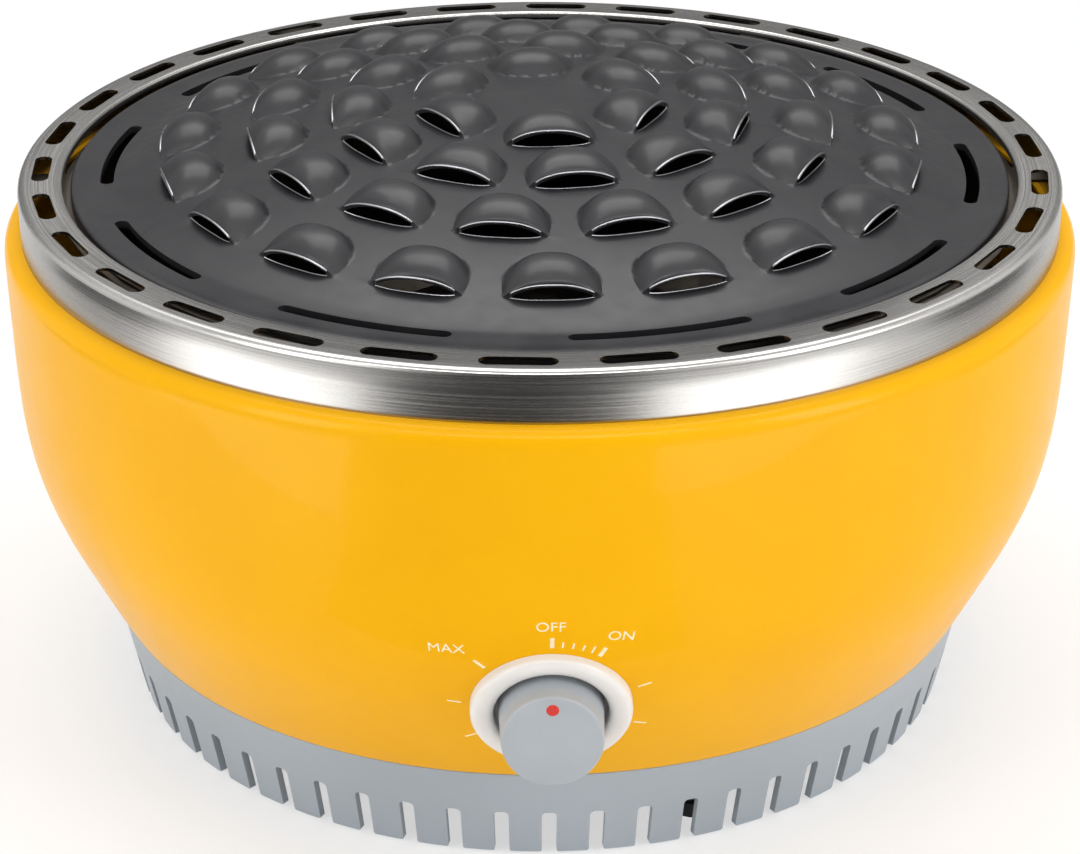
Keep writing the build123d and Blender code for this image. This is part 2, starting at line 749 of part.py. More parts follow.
with BuildPart() as fan_impeller:
    with BuildSketch(Plane.XY.offset(disc_bottom)):
        RegularPolygon(impeller_radius, dish_sides)
    extrude(amount=impeller_disc)
    with BuildSketch(Plane.XY.offset(disc_bottom)):
        RegularPolygon(impeller_hub_radius, post_sides)
        with PolarLocations(impeller_radius / 2, blade_count, front):
            Rectangle(impeller_radius - impeller_disc, blade_thickness)
    extrude(amount=impeller_bottom - disc_bottom)
    with BuildSketch(Plane.XY.offset(impeller_bottom)):
        Circle(shaft_radius)
    extrude(amount=impeller_height, mode=Mode.SUBTRACT)
fan_impeller.part.label = "fan_impeller"
export_step(fan_impeller.part, "parts/fan_impeller.step")

# Motor shaft: turns in the motor's nose and carries the impeller
shaft_bottom = motor_top + motor_nose_height - shaft_depth + rest_gap

with BuildPart() as motor_shaft:
    with BuildSketch(Plane.XY.offset(shaft_bottom)):
        Circle(shaft_radius)
    extrude(amount=impeller_bottom + impeller_height - shaft_bottom)
motor_shaft.part.label = "motor_shaft"
export_step(motor_shaft.part, "parts/motor_shaft.step")

# Battery box: tub hung by its flange in the floor's window, open below, with cover rails
bay_top = floor_top
bay_roof = 1.6
rail_drop = 3.6
rail_toe = 2.2
rail_thickness = 1.2
cover_thickness = 1.8
box_width = bay_width + 2 * bay_wall
box_length = bay_length + 2 * bay_wall
rail_plane = bay_floor_height - rail_drop

with BuildPart() as battery_box:
    with BuildSketch(Plane.XY.offset(bay_floor_height)):
        with Locations((0, bay_centre_y)):
            Rectangle(box_width, box_length)
    extrude(amount=bay_top + bay_roof - bay_floor_height)
    with BuildSketch(Plane.XY.offset(bay_top)):
        with Locations((0, bay_centre_y)):
            Rectangle(box_width + 4 * bay_wall, box_length + 4 * bay_wall)
    extrude(amount=bay_roof)
    with BuildSketch(Plane.XY.offset(bay_floor_height)):
        with Locations((0, bay_centre_y)):
            Rectangle(bay_width, bay_length)
    extrude(amount=bay_top - bay_floor_height, mode=Mode.SUBTRACT)
    with BuildSketch(Plane.XY.offset(rail_plane)):
        with Locations((0, bay_centre_y)):
            with GridLocations(0, box_length - rail_toe, 1, 2):
                Rectangle(box_width, rail_toe)
    extrude(amount=rail_thickness)
    with BuildSketch(Plane.XY.offset(rail_plane)):
        with Locations((0, bay_centre_y)):
            with GridLocations(0, box_length - rail_thickness, 1, 2):
                Rectangle(box_width, rail_thickness)
    extrude(amount=rail_drop)
battery_box.part.label = "battery_box"
export_step(battery_box.part, "parts/battery_box.step")

# Battery cover: slides in the rails and has a grip rib
cover_gap = (rail_drop - rail_thickness - cover_thickness) / 2
cover_length = box_length - 2 * rail_thickness - 2 * rest_gap
cover_bottom = rail_plane + rail_thickness + cover_gap
grip_width = 18.0
grip_height = 1.4
grip_inset = 8.0

with BuildPart() as battery_cover:
    with BuildSketch(Plane.XY.offset(cover_bottom)):
        with Locations((0, bay_centre_y)):
            Rectangle(box_width, cover_length)
    extrude(amount=cover_thickness)
    with BuildSketch(Plane.XY.offset(cover_bottom)):
        with Locations((box_width / 2 - grip_inset, bay_centre_y)):
            Rectangle(2 * grip_height, grip_width)
    extrude(amount=-grip_height)
battery_cover.part.label = "battery_cover"
export_step(battery_cover.part, "parts/battery_cover.step")

# Battery cells: four round cells side by side, heads turned about in turn
cell_nub_radius = 2.75
cell_nub_height = 1.2
cell_centre_height = bay_top - rest_gap - cell_radius

with BuildPart() as battery_cells:
    for index in range(cell_count):
        across = (index - (cell_count - 1) / 2) * cell_pitch
        facing = 1 if index % 2 else -1
        flat_end = Plane.XZ.offset(-bay_centre_y - facing * cell_length / 2)
        with BuildSketch(flat_end):
            with Locations((across, cell_centre_height)):
                RegularPolygon(cell_radius, can_sides)
        extrude(amount=facing * (cell_length - cell_nub_height))
        with BuildSketch(flat_end):
            with Locations((across, cell_centre_height)):
                RegularPolygon(cell_nub_radius, post_sides)
        extrude(amount=facing * cell_length)
battery_cells.part.label = "battery_cells"
export_step(battery_cells.part, "parts/battery_cells.step")

# Battery contacts: sprung strips at both ends of the bay, each pressing on a pair of cells
contact_gauge = 0.5
contact_height = 9.0

with BuildPart() as battery_contacts:
    for end in (-1, 1):
        wall_y = bay_centre_y + end * bay_length / 2
        for pair in (-1, 1):
            with BuildSketch(Plane.XY.offset(cell_centre_height - contact_height / 2)):
                with Locations((pair * cell_pitch, wall_y - end * contact_gauge / 2)):
                    Rectangle(1.6 * cell_pitch, contact_gauge)
                with GridLocations(cell_pitch, 0, 2, 1):
                    with Locations((pair * cell_pitch, wall_y - end * contact_gauge)):
                        Triangle(
                            a=cell_radius,
                            b=cell_radius * 0.6,
                            c=cell_radius * 0.6,
                            rotation=90 + end * 90,
                            align=(Align.CENTER, Align.MIN),
                        )
            extrude(amount=contact_height)
battery_contacts.part.label = "battery_contacts"
export_step(battery_contacts.part, "parts/battery_contacts.step")

# Control bracket: bent steel strip from the floor up behind the knob
bracket_gauge = 1.5
bracket_width = 26.0
bracket_foot = 14.0
bracket_setback = 15.2
bracket_head_y = bezel_seat_radius - bracket_setback
bracket_reach = 29.0
bracket_leg_y = bracket_head_y - bracket_reach
bracket_shelf_height = 50.0
bracket_head_height = 80.0
bushing_radius = 3.5

with BuildPart() as control_bracket:
    with BuildSketch(Plane.YZ):
        with BuildLine():
            Polyline(
                (-bracket_leg_y + bracket_foot, floor_top),
                (-bracket_leg_y, floor_top),
                (-bracket_leg_y, bracket_shelf_height),
                (-bracket_head_y, bracket_shelf_height),
                (-bracket_head_y, bracket_head_height),
            )
            offset(amount=bracket_gauge, side=Side.RIGHT, kind=Kind.INTERSECTION)
        make_face()
    extrude(amount=bracket_width / 2, both=True)
    with BuildSketch(Plane.XZ):
        with Locations((0, knob_axis_height)):
            RegularPolygon(bushing_radius + running_clearance, can_sides)
    extrude(amount=knob_face_reach, mode=Mode.SUBTRACT)
    with BuildSketch(Plane.XY.offset(floor_top)):
        with Locations((0, -bracket_leg_y + bracket_foot / 2)):
            with GridLocations(bracket_width / 2, 0, 2, 1):
                RegularPolygon(screw_hole_radius, screw_sides)
    extrude(amount=2 * bracket_gauge, mode=Mode.SUBTRACT)
control_bracket.part.label = "control_bracket"
export_step(control_bracket.part, "parts/control_bracket.step")

# Bracket screws
bracket_screw_length = bracket_gauge
bracket_screw = screw_at(bracket_screw_length)

with BuildPart() as bracket_screws:
    with Locations((0, -bracket_leg_y + bracket_foot / 2, floor_top + bracket_gauge)):
        with GridLocations(bracket_width / 2, 0, 2, 1):
            add(bracket_screw)
bracket_screws.part.label = "bracket_screws"
export_step(bracket_screws.part, "parts/bracket_screws.step")

# Potentiometer: round control body behind the bracket, with its bushing through it
control_body_radius = 8.5
control_body_depth = 10.0
bushing_length = 6.5
spindle_radius = 3.0

with BuildPart() as potentiometer:
    with BuildSketch(Plane.XZ.offset(bracket_head_y - bracket_gauge)):
        with Locations((0, knob_axis_height)):
            RegularPolygon(control_body_radius, can_sides)
    extrude(amount=-control_body_depth)
    with BuildSketch(Plane.XZ.offset(bracket_head_y - bracket_gauge)):
        with Locations((0, knob_axis_height)):
            RegularPolygon(bushing_radius, can_sides)
    extrude(amount=bushing_length)
    with BuildSketch(Plane.XZ.offset(bracket_head_y - bracket_gauge + bushing_length)):
        with Locations((0, knob_axis_height)):
            Circle(spindle_radius + running_clearance)
    extrude(amount=-bushing_length - control_body_depth / 2, mode=Mode.SUBTRACT)
potentiometer.part.label = "potentiometer"
export_step(potentiometer.part, "parts/potentiometer.step")

# Potentiometer nut: hexagon nut that holds the control to the bracket
nut_radius = 6.0
nut_height = 2.0

with BuildPart() as potentiometer_nut:
    with BuildSketch(Plane.XZ.offset(bracket_head_y)):
        with Locations((0, knob_axis_height)):
            RegularPolygon(nut_radius, screw_sides)
            RegularPolygon(bushing_radius + running_clearance, can_sides, mode=Mode.SUBTRACT)
    extrude(amount=nut_height)
potentiometer_nut.part.label = "potentiometer_nut"
export_step(potentiometer_nut.part, "parts/potentiometer_nut.step")

# Knob bezel: moulded ring in the bowl's hole, with a level recess for the knob
bezel_proud = 3.0
bezel_depth = 7.0
bezel_edge = 1.6
recess_radius = 17.3
recess_wall = 1.5
recess_depth = 8.2
recess_floor_y = bezel_seat_radius - recess_depth
bezel_back_hole_radius = nut_radius + 2 * rest_gap

with BuildPart() as knob_bezel:
    with BuildSketch(bezel_plane.offset(-bezel_depth)):
        RegularPolygon(bezel_radius, dial_sides)
    extrude(amount=bezel_depth + bezel_proud - bezel_edge)
    with BuildSketch(bezel_plane.offset(bezel_proud - bezel_edge)):
        RegularPolygon(bezel_radius, dial_sides)
    extrude(amount=bezel_edge, taper=45)
    with BuildSketch(Plane.XZ.offset(recess_floor_y - recess_wall)):
        with Locations((0, knob_axis_height)):
            RegularPolygon(recess_radius + recess_wall, dial_sides)
    extrude(amount=bezel_seat_radius - recess_floor_y)
    with BuildSketch(Plane.XZ.offset(recess_floor_y)):
        with Locations((0, knob_axis_height)):
            RegularPolygon(recess_radius, dial_sides)
    extrude(amount=knob_face_reach - recess_floor_y, mode=Mode.SUBTRACT)
    with BuildSketch(Plane.XZ.offset(bracket_head_y)):
        with Locations((0, knob_axis_height)):
            RegularPolygon(bezel_back_hole_radius, can_sides)
    extrude(amount=knob_face_reach - bracket_head_y, mode=Mode.SUBTRACT)
knob_bezel.part.label = "knob_bezel"
export_step(knob_bezel.part, "parts/knob_bezel.step")

# Knob: slightly tapering moulded cap, bored for the spindle
knob_root_radius = 15.95
knob_face_radius = 15.2
knob_back_y = recess_floor_y + 1.6
knob_edge = 0.6
knob_wall = 2.0
knob_length = knob_face_reach - knob_back_y
knob_taper = degrees(atan((knob_root_radius - knob_face_radius) / knob_length))
spindle_boss_radius = 5.5
marker_radius = 1.9
marker_depth = 0.8
marker_offset = 10.8

with BuildPart() as knob:
    with BuildSketch(Plane.XZ.offset(knob_back_y)):
        with Locations((0, knob_axis_height)):
            RegularPolygon(knob_root_radius, dial_sides)
    extrude(amount=knob_length - knob_edge, taper=knob_taper)
    extrude(knob.faces().sort_by(Axis.Y)[0], amount=knob_edge, taper=45)
    with BuildSketch(Plane.XZ.offset(knob_back_y)):
        with Locations((0, knob_axis_height)):
            RegularPolygon(knob_face_radius - knob_wall, can_sides)
            RegularPolygon(spindle_boss_radius, post_sides, mode=Mode.SUBTRACT)
    extrude(amount=knob_length - 2 * knob_wall, mode=Mode.SUBTRACT)
    with BuildSketch(Plane.XZ.offset(knob_back_y)):
        with Locations((0, knob_axis_height)):
            Circle(spindle_radius)
    extrude(amount=knob_length - 2 * knob_wall, mode=Mode.SUBTRACT)
    with BuildSketch(Plane.XZ.offset(knob_face_reach)):
        with Locations((0, knob_axis_height + marker_offset)):
            RegularPolygon(marker_radius, can_sides)
    extrude(amount=-marker_depth, mode=Mode.SUBTRACT)
knob.part.label = "knob"
export_step(knob.part, "parts/knob.step")

# Knob marker: red dot let into the knob's face
with BuildPart() as knob_marker:
    with BuildSketch(Plane.XZ.offset(knob_face_reach)):
        with Locations((0, knob_axis_height + marker_offset)):
            RegularPolygon(marker_radius, can_sides)
    extrude(amount=-marker_depth)
knob_marker.part.label = "knob_marker"
export_step(knob_marker.part, "parts/knob_marker.step")

# Potentiometer spindle: turns in the bushing, pressed into the knob
spindle_back_y = bracket_head_y - bracket_gauge - control_body_depth / 2 + rest_gap

with BuildPart() as potentiometer_spindle:
    with BuildSketch(Plane.XZ.offset(spindle_back_y)):
        with Locations((0, knob_axis_height)):
            Circle(spindle_radius)
    extrude(amount=knob_face_reach - 2 * knob_wall - spindle_back_y)
potentiometer_spindle.part.label = "potentiometer_spindle"
export_step(potentiometer_spindle.part, "parts/potentiometer_spindle.step")
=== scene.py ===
from math import asin, atan2, cos, degrees, hypot, pi, radians, sin, sqrt

import bmesh
import bpy
from mathutils import Matrix, Vector
from mathutils.geometry import delaunay_2d_cdt
from mathutils.kdtree import KDTree


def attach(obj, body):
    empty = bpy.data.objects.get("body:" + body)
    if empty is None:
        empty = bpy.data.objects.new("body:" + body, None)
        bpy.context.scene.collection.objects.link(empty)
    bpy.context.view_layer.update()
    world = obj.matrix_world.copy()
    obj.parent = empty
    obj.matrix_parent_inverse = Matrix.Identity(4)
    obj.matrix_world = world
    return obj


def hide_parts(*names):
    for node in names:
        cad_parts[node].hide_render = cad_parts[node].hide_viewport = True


# Fan-assisted charcoal grill for the table. Sizes are written in millimetres, as in the
# part's source, and turned to metres where a point is placed.
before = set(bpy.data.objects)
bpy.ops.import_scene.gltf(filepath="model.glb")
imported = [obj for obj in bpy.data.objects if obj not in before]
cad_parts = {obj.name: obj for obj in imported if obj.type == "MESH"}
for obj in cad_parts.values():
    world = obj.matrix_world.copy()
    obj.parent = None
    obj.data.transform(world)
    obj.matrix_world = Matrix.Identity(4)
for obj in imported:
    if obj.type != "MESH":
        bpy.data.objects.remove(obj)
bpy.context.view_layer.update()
mm = 0.001
front = 270.0


# Outer bowl: deep-drawn sheet steel, sprayed and stoved in glossy yellow enamel. Its rounded
# shoulder carries the steel rim, and a round hole in its foot takes the knob's bezel.
def linear(hex_colour):
    """An sRGB hex value as the linear colour that a shader takes."""
    parts = [int(hex_colour[i : i + 2], 16) / 255 for i in (1, 3, 5)]
    return [p / 12.92 if p <= 0.04045 else ((p + 0.055) / 1.055) ** 2.4 for p in parts] + [1.0]


def add_node(tree, kind, settings=None, links=None):
    """Adds a node; a setting is a property's or else an input's name, and links name inputs."""
    node = tree.nodes.new(kind)
    for name, value in (settings or {}).items():
        if isinstance(name, str) and name in node.bl_rna.properties:
            setattr(node, name, value)
        else:
            node.inputs[name].default_value = value
    for name, socket in (links or {}).items():
        tree.links.new(socket, node.inputs[name])
    return node


def new_finish(name, hex_colour, settings):
    """A material with one Principled shader, and the pieces of its tree."""
    material = bpy.data.materials.new(name)
    material.use_nodes = True
    tree = material.node_tree
    shader = tree.nodes["Principled BSDF"]
    shader.inputs["Base Color"].default_value = linear(hex_colour)
    for socket, value in settings.items():
        shader.inputs[socket].default_value = value
    place = add_node(tree, "ShaderNodeTexCoord").outputs["Object"]
    return material, tree, shader, place


def mottle(tree, shader, place, size, low, high, socket="Roughness", detail=3.0):
    """Lets a noise of that real size move one of the shader's sockets between two values."""
    noise = add_node(
        tree, "ShaderNodeTexNoise", {"Scale": 1 / (size * mm), "Detail": detail}, {"Vector": place}
    )
    spread = add_node(
        tree,
        "ShaderNodeMapRange",
        {"From Min": 0.3, "From Max": 0.7, "To Min": low, "To Max": high},
        {"Value": noise.outputs["Fac"]},
    )
    tree.links.new(spread.outputs["Result"], shader.inputs[socket])
    return noise


def grain(tree, shader, place, size, depth, strength=1.0, detail=2.0):
    """Roughens the surface with a noise of that real size and depth."""
    noise = add_node(
        tree, "ShaderNodeTexNoise", {"Scale": 1 / (size * mm), "Detail": detail}, {"Vector": place}
    )
    bump = add_node(
        tree,
        "ShaderNodeBump",
        {"Strength": strength, "Distance": depth * mm},
        {"Height": noise.outputs["Fac"]},
    )
    tree.links.new(bump.outputs["Normal"], shader.inputs["Normal"])
    return bump


def tint(tree, shader, place, size, first, second):
    """Lets the colour wander between two near hex values over patches of that real size."""
    noise = add_node(
        tree, "ShaderNodeTexNoise", {"Scale": 1 / (size * mm), "Detail": 4.0}, {"Vector": place}
    )
    ramp = add_node(tree, "ShaderNodeValToRGB", {}, {"Fac": noise.outputs["Fac"]})
    for stop, position, colour in zip(ramp.color_ramp.elements, (0.35, 0.65), (first, second)):
        stop.position = position
        stop.color = linear(colour)
    tree.links.new(ramp.outputs["Color"], shader.inputs["Base Color"])


def at(radius, azimuth, height):
    """The point in metres at a radius and height in mm and an azimuth in degrees."""
    return Vector((radius * cos(radians(azimuth)), radius * sin(radians(azimuth)), height)) * mm


def eased(points, steps):
    """A smooth line through points, which keeps them and adds steps between each two."""
    ends = [points[0]] + list(points) + [points[-1]]
    line = []
    for a, b, c, d in zip(ends, ends[1:], ends[2:], ends[3:]):
        for k in range(steps):
            t = k / steps
            line.append(
                tuple(
                    0.5
                    * (
                        2 * q
                        + (r - p) * t
                        + (2 * p - 5 * q + 4 * r - s) * t**2
                        + (3 * q - p - 3 * r + s) * t**3
                    )
                    for p, q, r, s in zip(a, b, c, d)
                )
            )
    return line + [tuple(points[-1])]


def bend(corner, before, after, radius, steps=5):
    """The points of a round that replaces a corner between the points before and after it."""
    c, p, n = Vector(corner), Vector(before), Vector(after)
    u, v = (p - c).normalized(), (n - c).normalized()
    half = u.angle(v) / 2
    reach = radius / abs(sin(half) / cos(half))
    centre = c + (u + v).normalized() * (radius / sin(half))
    start, end = c + u * reach - centre, c + v * reach - centre
    turn = start.angle(end)
    return [
        tuple(centre + (start * sin(turn * (1 - k / steps)) + end * sin(turn * k / steps)) / sin(turn))
        for k in range(steps + 1)
    ]


def rounded(points, radii):
    """A line of points whose corners get the given radii; none gets one where it is 0."""
    line = []
    for i, point in enumerate(points):
        if 0 < i < len(points) - 1 and radii[i]:
            line += bend(point, points[i - 1], points[i + 1], radii[i])
        else:
            line.append(tuple(point))
    return line


def shifted(line, gauge):
    """The same line moved to its left by a gauge."""
    moved = []
    for i, (x, y) in enumerate(line):
        a, b = Vector(line[max(i - 1, 0)]), Vector(line[min(i + 1, len(line) - 1)])
        along = (b - a).normalized()
        moved.append((x - along.y * gauge, y + along.x * gauge))
    return moved


def turned(bm, line, azimuths, closed=True, skip=None, place=Matrix.Identity(4)):
    """Sweeps a line of (radius, height) points about the axis, through the given azimuths."""
    rings = [[bm.verts.new(place @ at(r, a, z)) for r, z in line] for a in azimuths]
    count = len(line)
    for k in range(len(azimuths) - 1):
        for i in range(count if closed else count - 1):
            j = (i + 1) % count
            corners = (rings[k][i], rings[k + 1][i], rings[k + 1][j], rings[k][j])
            if not (skip and skip(k, i)) and len(set(v.co.copy().freeze() for v in corners)) > 2:
                bm.faces.new(corners)


def full_turn(count):
    """Azimuths of a whole turn from the front, the last equal to the first."""
    return [front + 360 * k / count for k in range(count)] + [front]


def cut_sheet(bm, outline, holes, fill, lift, goes_on):
    """A flat pattern less its holes, lifted to two skins, with a wall along each edge of it
    that doesn't go on in a neighbour. lift(point, side) gives the place on skin 0 or 1."""
    loops, flat = [], []
    for loop in (outline, *holes):
        area = sum(a[0] * b[1] - b[0] * a[1] for a, b in zip(loop, loop[1:] + loop[:1]))
        loops.append([len(flat) + i for i in range(len(loop))][:: 1 if area > 0 else -1])
        flat += loop
    flat += fill
    spots, _, faces, _, _, origin = delaunay_2d_cdt([Vector(p) for p in flat], [], loops, 1, 1e-4)
    faces = [face for face, within in zip(faces, origin) if within == [0]]
    skins = [[bm.verts.new(lift(p, side)) for p in spots] for side in (0, 1)]
    uses = {}
    for face in faces:
        for skin in skins:
            bm.faces.new([skin[i] for i in face])
        for a, b in zip(face, list(face[1:]) + [face[0]]):
            uses.setdefault((min(a, b), max(a, b)), []).append((a, b))
    for pair in uses.values():
        a, b = pair[0]
        if len(pair) == 1 and not goes_on(spots[a], spots[b]):
            bm.faces.new((skins[0][a], skins[0][b], skins[1][b], skins[1][a]))


def finished(name, bm, material, body, replaced=(), sharp=38.0):
    """Closes the seams, points the faces outwards and hands the piece to its body."""
    bmesh.ops.remove_doubles(bm, verts=bm.verts, dist=0.01 * mm)
    bmesh.ops.delete(bm, geom=[v for v in bm.verts if not v.link_faces], context="VERTS")
    bmesh.ops.recalc_face_normals(bm, faces=bm.faces)
    mesh = bpy.data.meshes.new(name)
    bm.to_mesh(mesh)
    bm.free()
    mesh.materials.clear()
    mesh.materials.append(material)
    mesh.shade_smooth()
    mesh.set_sharp_from_angle(angle=radians(sharp))
    piece = bpy.data.objects.new(name, mesh)
    bpy.context.scene.collection.objects.link(piece)
    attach(piece, body)
    if replaced:
        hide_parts(*replaced)
    return piece


# Stoved yellow enamel: a hard gloss film whose faint orange peel softens the lamps' edges.
enamel, tree, shader, place = new_finish(
    "stoved_yellow_enamel",
    "#F2B000",
    {"Roughness": 0.3, "IOR": 1.45, "Specular IOR Level": 0.1, "Coat Weight": 0.1, "Coat Roughness": 0.06},
)
tint(tree, shader, place, 60, "#F0AE00", "#F4B302")
mottle(tree, shader, place, 9, 0.29, 0.36)
grain(tree, shader, place, 2.2, 0.02, 0.5)

bowl_gauge = 1.2
bowl_line = eased(
    [(147.8, 33), (151.6, 40), (159.0, 55), (166.0, 70), (171.3, 85), (174.2, 100), (175.4, 115)]
    + [(175.9, 130), (176.3, 145), (176.5, 156)],
    4,
)
bowl_line = bowl_line[:-1] + rounded([(176.5, 156), (176.6, 163.7), (168, 163.7)], (0, 5.2, 0))
bowl_line = rounded([(131, 33), (147.6, 33), (148.4, 34.4)], (0, 0.6, 0)) + bowl_line[1:]
bowl_under = shifted(bowl_line, bowl_gauge)
bowl_steps = 180

bezel_centre = Vector((0, -165.2, 67.2))
bezel_tilt = radians(20)
bezel_out = Vector((0, -cos(bezel_tilt), -sin(bezel_tilt)))
bezel_up = Vector((0, -sin(bezel_tilt), cos(bezel_tilt)))


def bowl_reach(height, line=bowl_line):
    """The bowl's outer radius at a height."""
    for (r0, z0), (r1, z1) in zip(line, line[1:]):
        if z0 <= height <= z1 and z1 > z0:
            return r0 + (r1 - r0) * (height - z0) / (z1 - z0)
    return line[-1][0]


def on_bowl(across, up):
    """Where a line through the bezel's plane, along its axis, meets the bowl."""
    start = bezel_centre + Vector((across, 0, 0)) + bezel_up * up
    near, far = -14.0, 14.0
    for _ in range(40):
        middle = (near + far) / 2
        spot = start + bezel_out * middle
        if hypot(spot.x, spot.y) > bowl_reach(spot.z):
            far = middle
        else:
            near = middle
    return start + bezel_out * near


window_low = min(range(len(bowl_line)), key=lambda i: abs(bowl_line[i][1] - 38))
window_top = min(range(len(bowl_line)), key=lambda i: abs(bowl_line[i][1] - 97))
window_half = 6
row_height = [bowl_line[i][1] for i in range(len(bowl_line))]


def on_window(point, side):
    """The place on the bowl's outer or inner skin of a (degrees from the front, height) point."""
    below = sum(row_height[k] <= point[1] + 1e-6 for k in range(window_low, window_top))
    i = max(window_low, min(window_top - 1, below + window_low - 1))
    share = (point[1] - row_height[i]) / (row_height[i + 1] - row_height[i])
    line = (bowl_line, bowl_under)[side]
    (r0, z0), (r1, z1) = line[i], line[i + 1]
    return at(r0 + (r1 - r0) * share, front + point[0] / 3, z0 + (z1 - z0) * share)


def in_window(k, i):
    """Whether a cell of the bowl's grid lies in the window, on either skin."""
    step = min(k, bowl_steps - 1 - k)
    row = min(i, 2 * len(bowl_line) - 2 - i)
    return step < window_half and window_low <= row < window_top


bm = bmesh.new()
turned(bm, bowl_line + bowl_under[::-1], full_turn(bowl_steps), skip=in_window)
bezel_hole = []
for k in range(72):
    spot = on_bowl(24.35 * cos(radians(5 * k)), 24.35 * sin(radians(5 * k)))
    bezel_hole.append((3 * (degrees(atan2(spot.y, spot.x)) % 360 - front), spot.z))
columns = [3 * 2 * k for k in range(-window_half, window_half + 1)]
rows = row_height[window_low : window_top + 1]
outline = [(c, rows[0]) for c in columns] + [(columns[-1], z) for z in rows[1:]]
outline += [(c, rows[-1]) for c in columns[-2::-1]] + [(columns[0], z) for z in rows[-2:0:-1]]
fill = [
    (c, z)
    for c in columns[1:-1]
    for z in rows[1:-1]
    if min(hypot(c - h[0], z - h[1]) for h in bezel_hole) > 1.2
]
cut_sheet(
    bm,
    outline,
    [bezel_hole],
    fill,
    on_window,
    lambda a, b: max(abs(abs(p[0]) - columns[-1]) for p in (a, b)) < 0.01
    or max(min(abs(p[1] - rows[0]), abs(p[1] - rows[-1])) for p in (a, b)) < 0.01,
)
finished("enamelled_bowl", bm, enamel, "root", ["outer_bowl"])


# Dial: pad-printed pale ink on the enamel round the bezel, with OFF, ON and MAX and a tick
# at each step of the fan's speed. It is a film of ink that follows the bowl.
ink, tree, shader, place = new_finish(
    "pad_print_ink", "#F8E9BE", {"Roughness": 0.45, "IOR": 1.5}
)
tint(tree, shader, place, 1.2, "#F5E2B0", "#FBF0CF")
grain(tree, shader, place, 0.5, 0.01, 0.4)

ink_film = 0.05


def printed(name, shapes):
    """Lays flat shapes, lists of (across, up) corners and faces, on the bowl as a film."""
    bm = bmesh.new()
    for corners, faces in shapes:
        skins = [
            [bm.verts.new((on_bowl(*c) + bezel_out * lift) * mm) for c in corners]
            for lift in (ink_film, -ink_film)
        ]
        uses = {}
        for face in faces:
            for skin in skins:
                bm.faces.new([skin[i] for i in face])
            for a, b in zip(face, list(face[1:]) + [face[0]]):
                uses.setdefault((min(a, b), max(a, b)), []).append((a, b))
        for pair in uses.values():
            if len(pair) == 1:
                a, b = pair[0]
                bm.faces.new((skins[0][a], skins[0][b], skins[1][b], skins[1][a]))
    return finished(name, bm, ink, "root")


ticks = []
for turn, inner, outer, width in (
    (0.0, 26.6, 30.2, 1.25),
    (6.5, 26.8, 28.8, 0.55),
    (13.0, 26.8, 28.8, 0.55),
    (19.5, 26.8, 28.8, 0.55),
    (25.5, 26.8, 29.4, 0.55),
    (31.5, 26.6, 30.2, 1.25),
    (73.0, 26.8, 31.0, 0.6),
    (112.0, 26.8, 31.0, 0.6),
    (152.0, 26.8, 31.0, 0.6),
    (192.0, 26.8, 31.0, 0.6),
    (236.0, 26.8, 31.0, 0.6),
    (272.0, 26.8, 31.0, 0.6),
    (312.0, 26.6, 30.8, 0.95),
):
    way = Vector((sin(radians(turn)), cos(radians(turn))))
    side = Vector((way.y, -way.x)) * width / 2
    corners = [tuple(way * r + side * s) for r, s in ((inner, -1), (outer, -1), (outer, 1), (inner, 1))]
    ticks.append((corners, [(0, 1, 2, 3)]))
printed("dial_ticks", ticks)

for word, size, across, up, tilt in (
    ("OFF", 5.0, -0.4, 34.0, 0.0),
    ("ON", 5.0, 20.2, 29.6, -8.0),
    ("MAX", 5.0, -31.0, 24.0, 4.0),
):
    curve = bpy.data.curves.new(word, "FONT")
    curve.body = word
    curve.size = size
    curve.align_x = "CENTER"
    curve.align_y = "CENTER"
    curve.resolution_u = 4
    lettering = bpy.data.objects.new(word, curve)
    bpy.context.scene.collection.objects.link(lettering)
    bpy.context.view_layer.update()
    flat = bpy.data.meshes.new_from_object(lettering)
    bpy.data.objects.remove(lettering)
    lean = Matrix.Rotation(radians(tilt), 4, "Z")
    spots = [lean @ (v.co * 0.92) for v in flat.vertices]
    letters = ([(p.x * 1.12 + across, p.y + up) for p in spots], [tuple(f.vertices) for f in flat.polygons])
    printed("dial_" + word.lower(), [letters])


# Base ring: injection-moulded blue-grey ABS, one skirt whose lower half is a comb of 60 air
# slots, open at the table, and whose ledge inside carries the floor.
base_abs, tree, shader, place = new_finish(
    "moulded_grey_abs", "#A4ADB5", {"Roughness": 0.46, "IOR": 1.53}
)
tint(tree, shader, place, 80, "#A2ABB3", "#A7B0B8")
mottle(tree, shader, place, 5, 0.42, 0.52)
grain(tree, shader, place, 0.7, 0.012, 0.6)

sector_tree = bpy.data.node_groups.new("repeat_round_axis", "GeometryNodeTree")
sockets = {}
for title, kind in (
    ("Piece", "NodeSocketGeometry"),
    ("Count", "NodeSocketInt"),
    ("First azimuth", "NodeSocketFloat"),
    ("Lean", "NodeSocketFloat"),
    ("Centre height", "NodeSocketFloat"),
    ("Finish", "NodeSocketMaterial"),
):
    sockets[title] = sector_tree.interface.new_socket(title, in_out="INPUT", socket_type=kind)
sector_tree.interface.new_socket("Ring", in_out="OUTPUT", socket_type="NodeSocketGeometry")
given = add_node(sector_tree, "NodeGroupInput").outputs
step = add_node(
    sector_tree, "ShaderNodeMath", {"operation": "DIVIDE", 0: 2 * pi}, {1: given["Count"]}
)
number = add_node(sector_tree, "GeometryNodeInputIndex")
turn = add_node(
    sector_tree,
    "ShaderNodeMath",
    {"operation": "MULTIPLY_ADD"},
    {0: number.outputs[0], 1: step.outputs[0], 2: given["First azimuth"]},
)
